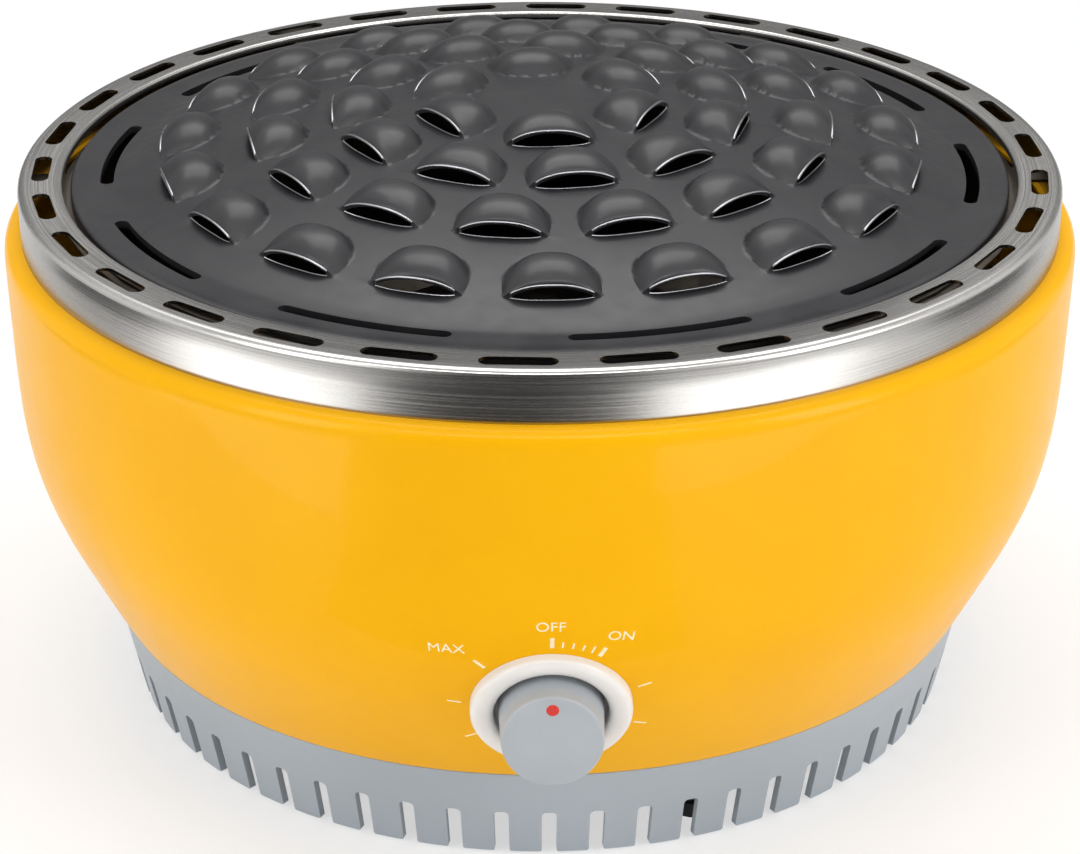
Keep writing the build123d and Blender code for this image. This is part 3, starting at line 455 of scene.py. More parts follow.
rotation = add_node(
    sector_tree, "ShaderNodeCombineXYZ", {}, {"Y": given["Lean"], "Z": turn.outputs[0]}
)
centre = add_node(sector_tree, "ShaderNodeCombineXYZ", {}, {"Z": given["Centre height"]})
spots = add_node(
    sector_tree, "GeometryNodePoints", {}, {"Count": given["Count"], "Position": centre.outputs[0]}
)
copies = add_node(
    sector_tree,
    "GeometryNodeInstanceOnPoints",
    {},
    {"Points": spots.outputs[0], "Instance": given["Piece"], "Rotation": rotation.outputs[0]},
)
real = add_node(sector_tree, "GeometryNodeRealizeInstances", {}, {"Geometry": copies.outputs[0]})
painted = add_node(
    sector_tree,
    "GeometryNodeSetMaterial",
    {},
    {"Geometry": real.outputs[0], "Material": given["Finish"]},
)
add_node(sector_tree, "NodeGroupOutput", {}, {"Ring": painted.outputs[0]})


def repeated(bm, piece, material, count, first, lean=0.0, height=0.0):
    """Adds a piece, made round the azimuth 0, to a mesh as a whole ring of copies of it."""
    mesh = bpy.data.meshes.new("one_of_ring")
    piece.to_mesh(mesh)
    holder = bpy.data.objects.new("one_of_ring", mesh)
    bpy.context.scene.collection.objects.link(holder)
    modifier = holder.modifiers.new("ring", "NODES")
    modifier.node_group = sector_tree
    for title, value in (
        ("Count", count),
        ("First azimuth", radians(first)),
        ("Lean", radians(lean)),
        ("Centre height", height * mm),
        ("Finish", material),
    ):
        modifier[sockets[title].identifier] = value
    bpy.context.view_layer.update()
    ring = bpy.data.meshes.new_from_object(holder.evaluated_get(bpy.context.evaluated_depsgraph_get()))
    bm.from_mesh(ring)
    bpy.data.objects.remove(holder)
    bpy.data.meshes.remove(ring)


comb_foot, comb_top = 0.8, 17.8
comb_foot_radius, comb_top_radius, skirt_top_radius = 141.2, 144.7, 147.8
skirt_gauge = 2.6
slot_half = 2.35
slot_top_height = 17.3
sector_reach = 3 * 141.2 * radians(1)
slope = (comb_top_radius - comb_foot_radius) / (comb_top - comb_foot)


def on_comb(point, side):
    """The place on the skirt's outer or inner skin of an (arc, height) point."""
    reach = comb_foot_radius + (point[1] - comb_foot) * slope - side * skirt_gauge
    return at(reach, degrees(point[0] / 141.2), point[1])


sector = bmesh.new()
slot_line = [(-slot_half, comb_foot)]
slot_line += bend((-slot_half, slot_top_height), (-slot_half, 0), (0, slot_top_height), 1.5, 4)
slot_line += bend((slot_half, slot_top_height), (0, slot_top_height), (slot_half, 0), 1.5, 4)
slot_line += [(slot_half, comb_foot)]
outline = [(-sector_reach, comb_foot)]
outline += bend((-slot_half, comb_foot), (-sector_reach, comb_foot), (-slot_half, 9), 0.7, 3)
outline += slot_line[1:-1]
outline += bend((slot_half, comb_foot), (slot_half, 9), (sector_reach, comb_foot), 0.7, 3)
outline += [(sector_reach, comb_foot), (sector_reach, 9), (sector_reach, comb_top)]
outline += [(0, comb_top), (-sector_reach, comb_top), (-sector_reach, 9)]
cut_sheet(
    sector,
    outline,
    [],
    [(-4.9, 9), (4.9, 9)],
    on_comb,
    lambda a, b: min(abs(a[0]), abs(b[0])) > sector_reach - 0.01 or min(a[1], b[1]) > comb_top - 0.01,
)
skirt_line = [(comb_top_radius, comb_top), (146.3, 25.5)]
skirt_line += rounded([(146.3, 25.5), (skirt_top_radius, 33), (145.2, 33)], (0, 0.5, 0))[1:]
skirt_line += [(142.6, 21), (131.0, 20.3), (131.0, comb_top), (comb_top_radius - skirt_gauge, comb_top)]
turned(sector, skirt_line, (-3, 0, 3), closed=False)
bm = bmesh.new()
repeated(bm, sector, base_abs, 60, front)
sector.free()
finished("slotted_base_ring", bm, base_abs, "root", ["base_ring"], 34)


# Steel rim: one ring pressed from stainless sheet and brushed on a turning table, so its
# fine lines run round it. 30 slots are punched in its flat top, and its inner edge is turned
# down. It lifts out with the fire bowl.
brushed, tree, shader, place = new_finish(
    "brushed_stainless_steel",
    "#B2B0AD",
    {"Metallic": 1.0, "Roughness": 0.25, "Anisotropic": 0.75},
)
# The brush lines are about 0.2 mm apart; they are drawn 0.6 mm apart so that they show.
split_place = add_node(tree, "ShaderNodeSeparateXYZ", {}, {"Vector": place})
flat_place = add_node(
    tree, "ShaderNodeCombineXYZ", {}, {"X": split_place.outputs["X"], "Y": split_place.outputs["Y"]}
)
reach = add_node(
    tree, "ShaderNodeVectorMath", {"operation": "LENGTH"}, {0: flat_place.outputs[0]}
)
heading = add_node(
    tree, "ShaderNodeVectorMath", {"operation": "NORMALIZE"}, {0: flat_place.outputs[0]}
)
heading_parts = add_node(tree, "ShaderNodeSeparateXYZ", {}, {"Vector": heading.outputs[0]})
across_brush = add_node(
    tree, "ShaderNodeMath", {"operation": "ADD"}, {0: reach.outputs["Value"], 1: split_place.outputs["Z"]}
)
coarse_across = add_node(
    tree, "ShaderNodeMath", {"operation": "MULTIPLY", 1: 1 / (0.6 * mm)}, {0: across_brush.outputs[0]}
)
brush_place = add_node(
    tree,
    "ShaderNodeCombineXYZ",
    {},
    {"X": heading_parts.outputs["X"], "Y": heading_parts.outputs["Y"], "Z": coarse_across.outputs[0]},
)
lines = add_node(
    tree,
    "ShaderNodeTexNoise",
    {"Scale": 1.6, "Detail": 4.0, "Roughness": 0.7},
    {"Vector": brush_place.outputs[0]},
)
line_rough = add_node(
    tree,
    "ShaderNodeMapRange",
    {"From Min": 0.3, "From Max": 0.7, "To Min": 0.19, "To Max": 0.31},
    {"Value": lines.outputs["Fac"]},
)
tree.links.new(line_rough.outputs["Result"], shader.inputs["Roughness"])
line_tone = add_node(tree, "ShaderNodeValToRGB", {}, {"Fac": lines.outputs["Fac"]})
for stop, position, colour in zip(line_tone.color_ramp.elements, (0.32, 0.68), ("#A3A19E", "#BDBBB8")):
    stop.position = position
    stop.color = linear(colour)
tree.links.new(line_tone.outputs["Color"], shader.inputs["Base Color"])
line_bump = add_node(
    tree, "ShaderNodeBump", {"Strength": 0.25, "Distance": 0.02 * mm}, {"Height": lines.outputs["Fac"]}
)
tree.links.new(line_bump.outputs["Normal"], shader.inputs["Normal"])
round_way = add_node(
    tree, "ShaderNodeVectorMath", {"operation": "CROSS_PRODUCT", 0: (0, 0, 1)}, {1: heading.outputs[0]}
)
tree.links.new(round_way.outputs[0], shader.inputs["Tangent"])

rim_gauge = 1.0
rim_line = rounded(
    [(171, 163.7), (171, 180), (156.5, 180), (156.5, 177.4)], (0, 2.4, 1.2, 0)
)
rim_line = rim_line[:1] + [(171, 168), (171, 172.5)] + rim_line[1:]
rim_under = shifted(rim_line, rim_gauge)
flat_row = next(i for i in range(len(rim_line) - 1) if rim_line[i][0] - rim_line[i + 1][0] > 8)
flat_outer, flat_inner = rim_line[flat_row][0], rim_line[flat_row + 1][0]
under_outer, under_inner = rim_under[flat_row][0], rim_under[flat_row + 1][0]
rim_slot_radius = 163.75
rim_slot_half, rim_slot_side = 11.4, 2.8
sector_half = 6.0


def on_rim(point, side):
    """The place on the rim's top or under skin of a (degrees x 3, radius) point."""
    share = (point[1] - flat_inner) / (flat_outer - flat_inner)
    reach = point[1] if side == 0 else under_inner + (under_outer - under_inner) * share
    return at(reach, point[0] / 2.858, 180 - side * rim_gauge)


rim_steps = [sector_half * k / 3 for k in range(-3, 4)]
outline = [(2.858 * a, flat_inner) for a in rim_steps] + [(2.858 * a, flat_outer) for a in rim_steps[::-1]]
slot = []
for end in (1, -1):
    for k in range(9):
        around = radians(-90 + 22.5 * k) if end == 1 else radians(90 + 22.5 * k)
        slot.append(
            (
                end * (rim_slot_half - rim_slot_side) + rim_slot_side * cos(around),
                rim_slot_radius + rim_slot_side * sin(around),
            )
        )
sector = bmesh.new()
cut_sheet(
    sector,
    outline,
    [slot],
    [],
    on_rim,
    lambda a, b: min(abs(a[0]), abs(b[0])) > 2.858 * sector_half - 0.01
    or max(a[1], b[1]) < flat_inner + 0.01
    or min(a[1], b[1]) > flat_outer - 0.01,
)
turned(
    sector,
    rim_line + rim_under[::-1],
    rim_steps,
    skip=lambda k, i: i in (flat_row, 2 * len(rim_line) - 2 - flat_row),
)
bm = bmesh.new()
repeated(bm, sector, brushed, 30, front - 3.3)
sector.free()
finished(
    "slotted_steel_rim", bm, brushed, "inner_bowl", ["steel_collar", "collar_band"], 40
)


# Grill plate: cast aluminium with a black non-stick coat, domed, with four rings of louvred
# bubbles that throw the fat outwards and a gutter with ten arc-shaped slots at its edge.
nonstick, tree, shader, place = new_finish(
    "nonstick_coated_aluminium",
    "#242326",
    {"Roughness": 0.38, "IOR": 1.5, "Specular IOR Level": 0.34, "Coat Weight": 0.12, "Coat Roughness": 0.16},
)
tint(tree, shader, place, 14, "#222124", "#282729")
mottle(tree, shader, place, 6, 0.36, 0.46)
grain(tree, shader, place, 0.55, 0.02, 0.7, 4.0)

plate_gauge = 2.4
gutter_height = 177.7
dome_radius, dome_sphere, dome_centre = 139.0, 422.84, -221.64
rings = ((6, 0.284, -3.9), (11, 0.483, -8.1), (15, 0.681, 8.4), (19, 0.89, -0.5))
blend_start, blend_end = 136.4, 140.6


def plate_skin(reach):
    """The plate's height and slope at a radius: dome, small fillet, flat gutter."""
    if reach <= blend_start:
        rise = sqrt(dome_sphere**2 - reach**2)
        return dome_centre + rise, -reach / rise
    if reach >= blend_end:
        return gutter_height, 0.0
    top, fall = plate_skin(blend_start)
    width = blend_end - blend_start
    t = (reach - blend_start) / width
    height = (2 * t**3 - 3 * t**2 + 1) * top + (t**3 - 2 * t**2 + t) * fall * width
    height += (3 * t**2 - 2 * t**3) * gutter_height
    slope = (6 * t**2 - 6 * t) / width * (top - gutter_height) + (3 * t**2 - 4 * t + 1) * fall
    return height, slope


def on_plate(point, side):
    """The place on the plate's top or under skin of an (x, y) point."""
    reach = hypot(*point)
    height, slope = plate_skin(reach)
    out = Vector((point[0], point[1], 0)) / reach if reach else Vector((0, 0, 0))
    normal = (Vector((0, 0, 1)) - out * slope).normalized()
    return (Vector((point[0], point[1], height)) - normal * plate_gauge * side) * mm


# One bubble: a hood that rises from the skin and ends over a slit, its lip a low arch, with
# a sill and a shallow dip in front. x points down the slope, from the hood to the dip.
patch_width = ((-20.2, 7.0), (-18.4, 9.8), (-15.6, 12.5), (-11, 15.0), (-5, 15.6))
patch_width += ((0, 15.4), (3.0, 14.2), (5.2, 10.5))
hood_rows = (-20.2, -19.0, -17.9, -16.9, -15.8, -14.4, -12.6, -10.4, -8.0, -5.6, -3.6, -2.1, -1.1, -0.5, -0.1)
sill_rows = (0.1, 0.45, 0.9, 1.6, 2.5, 3.5, 4.5, 5.2)
shares = (0, 0.13, 0.26, 0.39, 0.51, 0.61, 0.69, 0.76, 0.805, 0.85, 0.9, 0.95, 1)
tracks = [-s for s in shares[:0:-1]] + list(shares)
slit_end = 0.805
hood_top, hood_crest, lip_top, hood_length = 7.1, -7.0, 4.6, 18.4
hood_half, arch_rise = 14.7, 3.3
slit_half = 15.4 * slit_end
sill_drop, dip_run = 1.25, 5.0
lip_round, lip_run, closing_run = 0.5, 1.1, 2.6


def patch_half(x):
    """The half width of a bubble's patch at x."""
    for (x0, w0), (x1, w1) in zip(patch_width, patch_width[1:]):
        if x <= x1:
            return w0 + (w1 - w0) * (x - x0) / (x1 - x0)
    return patch_width[-1][1]


def hood_height(x, y):
    """The hood's height over the skin: widest at the slit, highest behind it, steep-sided."""
    back = min(1.0, max(0.0, -x / hood_length))
    half = hood_half * (1 - back**3.4) ** 0.5
    if half <= 0 or abs(y) >= half:
        return 0.0
    if x > hood_crest:
        crest = lip_top + (hood_top - lip_top) * sin(pi / 2 * x / hood_crest)
    else:
        crest = hood_top * (1 - ((hood_crest - x) / (hood_length + hood_crest)) ** 2.6) ** 0.8
    return crest * (1 - abs(y / half) ** 2.5) ** 0.85


def arch_height(y):
    """The slit's arch over the skin: a round segment from one end of the slit to the other."""
    return arch_rise * max(0.0, 1 - (y / slit_half) ** 2) ** 0.9


def dip_height(x, y):
    """The dip's depth, below the skin, which falls towards the sill of the slit."""
    along = max(0.0, 1 - x / dip_run)
    across = max(0.0, 1 - abs(y / slit_half) ** 3)
    return -sill_drop * along**1.6 * across


def on_patch(x, y, height):
    """A patch's point, wrapped on the dome's sphere, from the dome's centre."""
    return Vector((x, y, dome_sphere)).normalized() * (dome_sphere + height) * mm


patch = bmesh.new()
grid = []
for row, x in enumerate(hood_rows + sill_rows):
    hooded = row < len(hood_rows)
    near_lip = lip_round * max(0.0, 1 + x / lip_run) ** 2 if hooded else 0.0
    line = []
    for share in tracks:
        shut = abs(share) >= slit_end and abs(x) <= 0.1
        y = patch_half(0 if shut else x) * share
        if hooded:
            over = hood_height(0.0 if abs(x) < 0.2 else x, y)
            top = max(0.0, over - near_lip * min(1.0, over / 2))
            closing = max(0.0, 1 + x / closing_run)
            under = min(1.2 * over, over + 0.9) - plate_gauge
            under += (arch_height(y) - under) * closing * (abs(share) < slit_end)
        else:
            top = dip_height(x, y) - 0.3 * max(0.0, 1 - (x - 0.1) / 0.6) ** 2 * (abs(share) < slit_end)
            under = dip_height(x, y) - plate_gauge
        line.append(
            (
                patch.verts.new(on_patch(0.0 if shut else x, y, hood_height(0.0, y) if shut else top)),
                patch.verts.new(on_patch(0.0 if shut else x, y, -plate_gauge if shut else under)),
            )
        )
    grid.append(line)
lip_row = len(hood_rows) - 1
for row in range(len(grid) - 1):
    for col in range(len(tracks) - 1):
        if row == lip_row and max(abs(tracks[col]), abs(tracks[col + 1])) <= slit_end:
            for edge in (lip_row, lip_row + 1):
                a, b = grid[edge][col], grid[edge][col + 1]
                patch.faces.new((a[0], b[0], b[1], a[1]))
            continue
        for side in (0, 1):
            corners = [grid[row][col], grid[row][col + 1], grid[row + 1][col + 1], grid[row + 1][col]]
            corners = [c[side] for c in corners]
            if row == lip_row:
                continue
            patch.faces.new(corners)
bmesh.ops.remove_doubles(patch, verts=patch.verts, dist=0.002 * mm)

# Lips and sills of the slits: a fine bead runs along each, in a bright bare-metal finish that is a painted
# highlight, so each slit is drawn by a fine shining line above and below it.
slit_highlight_finish, tree, shader, place = new_finish(
    "slit_highlight_metal", "#97979A", {"Metallic": 1.0, "Roughness": 0.3}
)
mottle(tree, shader, place, 4, 0.24, 0.4)
lip_bead, sill_bead = 0.42, 0.34
edge_pair = bmesh.new()
for bead, height_at, reach in (
    (lip_bead, lambda y: hood_height(0.0, y) - lip_bead, 0.1),
    (sill_bead, lambda y: dip_height(0.1, y) - 0.08, 0.3),
):
    rows = []
    for share in [s for s in tracks if abs(s) <= slit_end]:
        y = patch_half(0) * share
        rows.append(
            [
                edge_pair.verts.new(
                    on_patch(reach + bead * cos(radians(a)), y, height_at(y) + bead * sin(radians(a)))
                )
                for a in range(0, 360, 60)
            ]
        )
    for one, two in zip(rows, rows[1:]):
        for i in range(6):
            j = (i + 1) % 6
            edge_pair.faces.new((one[i], two[i], two[j], one[j]))
    edge_pair.faces.new(rows[0])
    edge_pair.faces.new(rows[-1][::-1])
edge_beads = bmesh.new()

bm = bmesh.new()
patch_outline = [(hood_rows[0], patch_half(hood_rows[0]) * t) for t in tracks]
patch_outline += [(x, patch_half(x)) for x in hood_rows[1:-1]] + [(0.0, patch_half(0))]
patch_outline += [(x, patch_half(x)) for x in sill_rows[1:]]
patch_outline += [(sill_rows[-1], patch_half(sill_rows[-1]) * t) for t in tracks[-2::-1]]
patch_outline += [(x, -patch_half(x)) for x in sill_rows[-2:0:-1]] + [(0.0, -patch_half(0))]
patch_outline += [(x, -patch_half(x)) for x in hood_rows[-2:0:-1]]
holes = []
for count, share, ring_turn in rings:
    lean = asin(share * dome_radius / dome_sphere)
    repeated(bm, patch, nonstick, count, front - ring_turn, degrees(lean), dome_centre)
    repeated(edge_beads, edge_pair, slit_highlight_finish, count, front - ring_turn, degrees(lean), dome_centre)
    for k in range(count):
        spin = Matrix.Rotation(radians(front - ring_turn + 360 * k / count), 3, "Z")
        spin = spin @ Matrix.Rotation(lean, 3, "Y")
        spots = [spin @ on_patch(x, y, 0) / mm for x, y in patch_outline]
        holes.append([(p.x, p.y) for p in spots])
patch.free()
edge_pair.free()
# The slits' beads, whose bright bare-metal finish is a painted highlight on the black coat.
finished("slit_highlight_beads", edge_beads, slit_highlight_finish, "grill_plate", (), 80)

gutter_radius, gutter_half, gutter_side = 142.2, 20.7 / 2, 2.2
for k in range(10):
    middle = front + 13.3 + 36 * k
    arc = [middle - gutter_half + gutter_half * i / 5 for i in range(11)]
    line = [(gutter_radius + gutter_side, a) for a in arc]
    tip = degrees(gutter_side / gutter_radius)
    for i in range(1, 6):
        around = radians(90 - 30 * i)
        line.append((gutter_radius + gutter_side * sin(around), arc[-1] + tip * cos(around)))
    line += [(gutter_radius - gutter_side, a) for a in arc[::-1]]
    for i in range(1, 6):
        around = radians(-90 - 30 * i)
        line.append((gutter_radius + gutter_side * sin(around), arc[0] + tip * cos(around)))
    holes.append([(r * cos(radians(a)), r * sin(radians(a))) for r, a in line])
outline = [(p.x / mm, p.y / mm) for p in (at(150, a, 0) for a in full_turn(240)[:-1])]
edges = KDTree(sum(len(h) for h in holes))
for i, spot in enumerate(p for h in holes for p in h):
    edges.insert((spot[0], spot[1], 0), i)
edges.balance()
fill = []
reach = 0.0
while reach < 148:
    count = max(1, round(2 * pi * reach / 4.4))
    for k in range(count):
        spot = (reach * cos(2 * pi * k / count), reach * sin(2 * pi * k / count))
        if edges.find((spot[0], spot[1], 0))[2] > 1.3:
            fill.append(spot)
    reach += 1.05 if 135 < reach < 141 else 4.2
cut_sheet(
    bm, outline, holes, fill, on_plate,
    lambda a, b: max(hypot(*a), hypot(*b)) < 139 or min(hypot(*a), hypot(*b)) > 149,
)
plate_edge = [(150, gutter_height)]
plate_edge += rounded(
    [(150, gutter_height), (151.4, 178.1), (154, 178.1), (154, 174), (151, 174)]
    + [(150, gutter_height - plate_gauge)],
    (0, 1.6, 1.3, 0.5, 0.5, 0),
)[1:]
turned(bm, plate_edge, full_turn(240), closed=False)
finished("domed_grill_plate", bm, nonstick, "grill_plate", ["grill_plate"], 42)


# Bezel: off-white moulded ring that fills the bowl's hole. Its rounded face leans down with
# the bowl, and its level round recess holds the knob.
white_abs, tree, shader, place = new_finish(
    "moulded_white_abs", "#E9E6E1", {"Roughness": 0.3, "IOR": 1.53}
)
tint(tree, shader, place, 25, "#E6E3DE", "#ECE9E5")
grain(tree, shader, place, 0.8, 0.006, 0.5)

recess_height = 66.0
bezel_rim = ((24.3, -7.0), (24.3, 0.6), (24.2, 1.3), (23.8, 2.0), (23.1, 2.6))
bezel_rim += ((22.2, 2.95), (21.0, 3.0), (19.9, 2.95))
spots_round = [radians(5 * k) for k in range(72)]
loops = []
for radius, proud in bezel_rim:
    loops.append(
        [
            bezel_centre + Vector((radius * cos(a), 0, 0)) + bezel_up * radius * sin(a) + bezel_out * proud
            for a in spots_round
        ]
    )
for radius, back in ((18.7, 0.25), (18.0, 0.75), (17.5, 1.5), (17.3, 2.4)):
    line = []
    for a in spots_round:
        x, z = radius * cos(a), recess_height + radius * sin(a)
        face = bezel_centre + bezel_out * 3.0
        y = face.y - (z - face.z) * bezel_out.z / bezel_out.y
        line.append(Vector((x, y + back, z)))
    loops.append(line)
for radius, y in ((17.3, -157.4), (16.9, -157.0), (6.7, -157.0), (6.7, -155.5), (18.8, -155.5)):
    loops.append([Vector((radius * cos(a), y, recess_height + radius * sin(a))) for a in spots_round])
bm = bmesh.new()
rounds = [[bm.verts.new(p * mm) for p in loop] for loop in loops]
for one, two in zip(rounds, rounds[1:] + rounds[:1]):
    for k in range(72):
        bm.faces.new((one[k], one[(k + 1) % 72], two[(k + 1) % 72], two[k]))
finished("control_bezel", bm, white_abs, "root", ["knob_bezel"], 35)


# Knob: moulded blue-grey ABS cap with a slight taper, a dull face and a small rounded edge,
# pushed on the control's spindle; a red dot let into its face points to the speed.
knob_abs, tree, shader, place = new_finish(
    "moulded_knob_abs", "#ACB2B8", {"Roughness": 0.42, "IOR": 1.53}
)
tint(tree, shader, place, 20, "#A9AFB5", "#AFB5BB")
grain(tree, shader, place, 0.5, 0.008, 0.6)
to_front = Matrix.Translation((0, 0, 66 * mm)) @ Matrix.Rotation(radians(90), 4, "X")

knob_line = rounded(
    [(15.95, 158.6), (15.2, 181.8), (2.0, 181.8), (0.0, 181.8)], (0, 0.9, 0, 0)
)
knob_line = [(14.2, 160.2), (15.6, 158.6)] + knob_line
knob_line = [(0.0, 160.2), (6.0, 160.2)] + knob_line
bm = bmesh.new()
turned(bm, knob_line, [5 * k for k in range(72)] + [0], closed=False, place=to_front)
finished("control_knob", bm, knob_abs, "knob", ["knob"], 50)

marker_red, tree, shader, place = new_finish(
    "red_marker_plastic", "#D8382C", {"Roughness": 0.35, "IOR": 1.5}
)
tint(tree, shader, place, 1.0, "#D0332A", "#DE4034")
bm = bmesh.new()
dot_line = rounded([(1.9, 181.2), (1.9, 181.95), (0.0, 181.95)], (0, 0.2, 0))
turned(
    bm,
    [(0.0, 181.2)] + dot_line,
    [10 * k for k in range(36)] + [0],
    closed=False,
    place=Matrix.Translation((0, 0, 10.8 * mm)) @ to_front,
)
finished("red_dot", bm, marker_red, "knob", ["knob_marker"], 50)


# Fire side: the bowl, basket, lid, tray and nozzle are pressed from thin stainless sheet.
# Its colour is a warm, dark brownish grey with a dull satin gloss.
dark_fire_side_steel, tree, shader, place = new_finish(
    "dark_satin_stainless_steel", "#6B6259", {"Metallic": 1.0, "Roughness": 0.42}
)
tint(tree, shader, place, 40, "#5C544C", "#777067")
mottle(tree, shader, place, 3, 0.36, 0.5)
grain(tree, shader, place, 0.6, 0.01, 0.4)
for node in (
    ("inner_bowl", "collar_shelf", "air_nozzle", "ignition_tray", "charcoal_basket", "basket_floor")
    + ("basket_legs", "basket_lid", "lid_knob")
):
    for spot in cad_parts[node].material_slots:
        spot.material = dark_fire_side_steel


# Works in the base: the floor and battery cover are the ring's grey ABS, the fan and the
# battery box a dull black plastic, and screws, motor, shield and bracket zinc-plated steel.
zinc, tree, shader, place = new_finish(
    "zinc_plated_steel", "#A9ABAE", {"Metallic": 1.0, "Roughness": 0.38}
)
tint(tree, shader, place, 8, "#A2A5A9", "#B2B4B6")
mottle(tree, shader, place, 2, 0.3, 0.46)
black_pp, tree, shader, place = new_finish(
    "moulded_black_polypropylene", "#1E1E1F", {"Roughness": 0.5, "IOR": 1.49}
)
tint(tree, shader, place, 20, "#1B1B1C", "#232324")
grain(tree, shader, place, 0.7, 0.015, 0.6)
rubber, tree, shader, place = new_finish(
    "moulded_black_rubber", "#1A1A1A", {"Roughness": 0.75, "IOR": 1.52}
)
tint(tree, shader, place, 6, "#171717", "#202020")
grain(tree, shader, place, 0.5, 0.02, 0.8)
jacket, tree, shader, place = new_finish(
    "lacquered_cell_jacket", "#3B3F44", {"Roughness": 0.3, "IOR": 1.5, "Metallic": 0.4}
)
tint(tree, shader, place, 10, "#35393E", "#41464B")
for finish, nodes in (
    (base_abs, ("base_floor", "battery_cover")),
    (rubber, ("rubber_feet",)),
    (black_pp, ("fan_housing", "fan_impeller", "battery_box")),
    (jacket, ("battery_cells",)),
    (
        zinc,
        ("base_screws", "bowl_screws", "heat_shield", "shield_screws", "fan_motor", "fan_screws")
        + ("motor_shaft", "battery_contacts", "control_bracket", "bracket_screws", "potentiometer")
        + ("potentiometer_nut", "potentiometer_spindle"),
    ),
):
    for node in nodes:
        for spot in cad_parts[node].material_slots:
            spot.material = finish


# Studio: a pale sweep to stand on, a large soft lamp overhead, one on each side, and three
# strips that only gloss shows: low ones to the left and right and one in front
sweep, tree, shader, place = new_finish("white_studio_sweep", "#F2F2F2", {"Roughness": 0.9})
path = add_node(tree, "ShaderNodeLightPath").outputs
seen = add_node(
    tree, "ShaderNodeMath", {"operation": "MAXIMUM"}, {0: path["Is Camera Ray"], 1: path["Is Glossy Ray"]}
)
seen = add_node(
    tree, "ShaderNodeMath", {"operation": "MAXIMUM"}, {0: seen.outputs[0], 1: path["Is Transmission Ray"]}
)
share = add_node(tree, "ShaderNodeMath", {"operation": "MULTIPLY", 1: 0.6}, {0: seen.outputs[0]})
glow = add_node(tree, "ShaderNodeEmission", {"Color": (1, 1, 1, 1), "Strength": 1.0})
both = add_node(
    tree, "ShaderNodeMixShader", {}, {0: share.outputs[0], 1: shader.outputs[0], 2: glow.outputs[0]}
)
tree.links.new(both.outputs[0], tree.nodes["Material Output"].inputs["Surface"])
bm = bmesh.new()
bmesh.ops.create_grid(bm, x_segments=1, y_segments=1, size=4)
mesh = bpy.data.meshes.new("studio_floor")
bm.to_mesh(mesh)
bm.free()
mesh.materials.append(sweep)
floor = bpy.data.objects.new("studio_floor", mesh)
bpy.context.scene.collection.objects.link(floor)

world = bpy.data.worlds.new("studio")
bpy.context.scene.world = world
world.use_nodes = True
tree = world.node_tree
path = add_node(tree, "ShaderNodeLightPath").outputs
seen = add_node(
    tree, "ShaderNodeMath", {"operation": "MAXIMUM"}, {0: path["Is Camera Ray"], 1: path["Is Glossy Ray"]}
)
seen = add_node(
    tree, "ShaderNodeMath", {"operation": "MAXIMUM"}, {0: seen.outputs[0], 1: path["Is Transmission Ray"]}
)
level = add_node(
    tree,
    "ShaderNodeMapRange",
    {"From Min": 0.0, "From Max": 1.0, "To Min": 0.55, "To Max": 1.0},
    {"Value": seen.outputs[0]},
)
tree.links.new(level.outputs["Result"], tree.nodes["Background"].inputs["Strength"])
tree.nodes["Background"].inputs["Color"].default_value = (1, 1, 1, 1)

for name, spot, size, power, strip_turn in (
    ("overhead_softbox", (0.0, 0.35, 1.5), (1.4, 1.0), 16, None),
    ("left_softbox", (-1.1, -0.9, 0.8), (0.5, 1.0), 7, None),
    ("right_softbox", (1.2, -0.8, 0.8), (0.5, 1.0), 9, None),
    ("left_strip", (-0.40, -0.30, 0.004), (0.34, 0.16), 0.4, radians(-32)),
    ("right_strip", (0.33, -0.40, 0.004), (0.38, 0.16), 0.45, radians(23)),
    ("front_strip", (0.0, -1.1, 1.5), (1.6, 0.12), 9, None),
):
    lamp = bpy.data.lights.new(name, "AREA")
    lamp.shape = "RECTANGLE"
    lamp.size, lamp.size_y = size
    lamp.energy = power
    holder = bpy.data.objects.new(name, lamp)
    holder.location = spot
    holder.rotation_euler = (Vector((0, 0, 0.1)) - Vector(spot)).to_track_quat("-Z", "Y").to_euler()
    if strip_turn is not None:
        holder.rotation_euler = (pi, 0, strip_turn)
    if name.endswith("strip"):
        holder.visible_diffuse = False
        holder.visible_camera = False
    bpy.context.scene.collection.objects.link(holder)

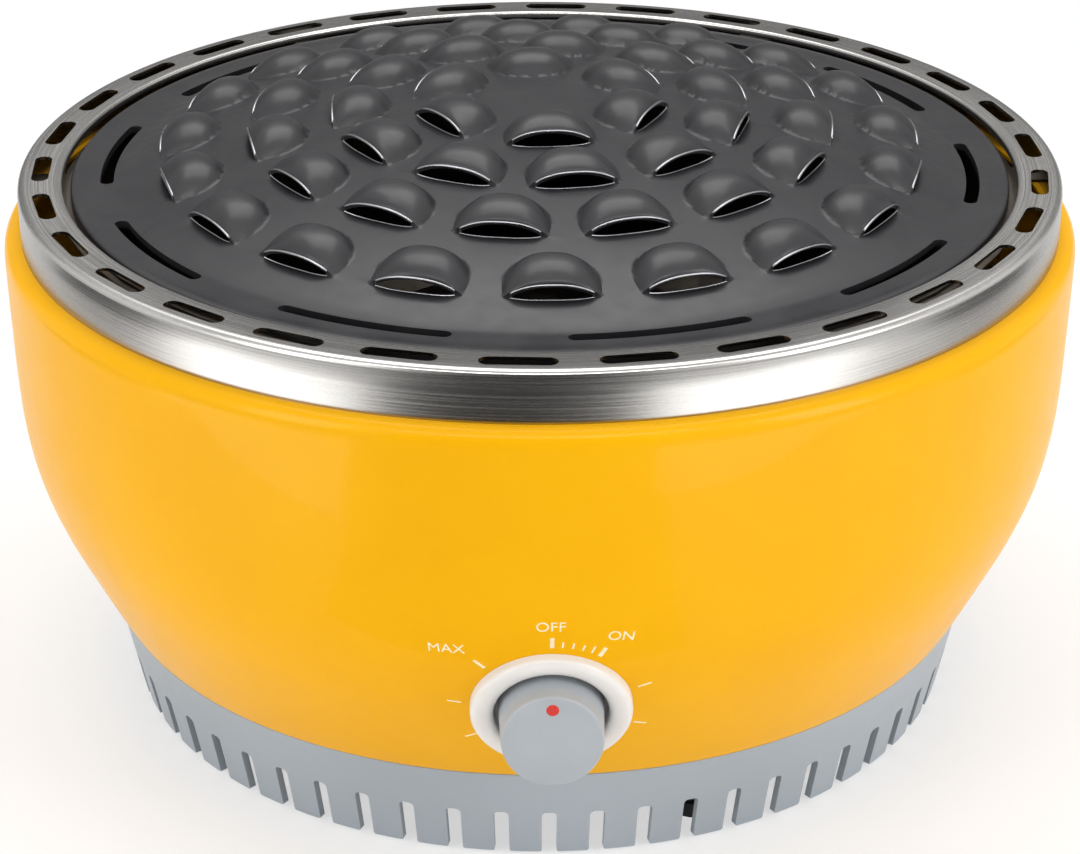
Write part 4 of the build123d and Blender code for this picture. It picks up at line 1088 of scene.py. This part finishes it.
# Cards that only the gloss sees, as flags are set up in a studio: a black one on the floor
# and behind the camera gives polished steel its dark middle, two dark ones grey its sides,
# and a grey one at the back takes the glare off the level tops
for name, colour, corners in (
    (
        "black_flag",
        "#141414",
        ((-0.15, -0.22, 0.002), (0.08, -0.22, 0.002), (0.28, -0.8, 0.002), (-0.46, -0.8, 0.002))
        + ((0.34, -1.0, 1.1), (-0.5, -1.0, 1.1)),
    ),
    (
        "left_flag",
        "#3C3C3C",
        ((-0.5, -0.12, 0.002), (-0.5, 0.2, 0.002), (-0.9, 0.3, 0.002), (-0.9, -0.2, 0.002)),
    ),
    (
        "right_flag",
        "#3C3C3C",
        ((0.5, -0.12, 0.002), (0.9, -0.2, 0.002), (0.9, 0.3, 0.002), (0.5, 0.2, 0.002)),
    ),
    (
        "grey_flag",
        "#8C8C8C",
        ((-1.6, 1.2, 0.002), (1.6, 1.2, 0.002), (1.6, 1.2, 0.6), (-1.6, 1.2, 0.6))
        + ((1.6, 1.1, 1.1), (-1.6, 1.1, 1.1)),
    ),
):
    card = bpy.data.materials.new(name + "_card")
    card.use_nodes = True
    card.node_tree.nodes["Principled BSDF"].inputs["Base Color"].default_value = linear(colour)
    card.node_tree.nodes["Principled BSDF"].inputs["Roughness"].default_value = 0.9
    bm = bmesh.new()
    spots = [bm.verts.new(p) for p in corners]
    bm.faces.new(spots[:4])
    if len(spots) == 6:
        bm.faces.new((spots[3], spots[2], spots[4], spots[5]))
    mesh = bpy.data.meshes.new(name)
    bm.to_mesh(mesh)
    bm.free()
    mesh.materials.append(card)
    flag = bpy.data.objects.new(name, mesh)
    bpy.context.scene.collection.objects.link(flag)
    flag.visible_camera = False
    flag.visible_diffuse = False
    flag.visible_shadow = False

# Camera: where the photograph was taken from
lens = bpy.data.cameras.new("camera")
lens.lens = 98.4
lens.sensor_width = 36.0
camera = bpy.data.objects.new("camera", lens)
camera.location = (-0.0189, -0.9188, 0.5227)
camera.rotation_euler = (radians(64.32), 0, radians(-1.18))
bpy.context.scene.collection.objects.link(camera)
bpy.context.scene.camera = camera
bpy.context.scene.view_settings.view_transform = "Standard"
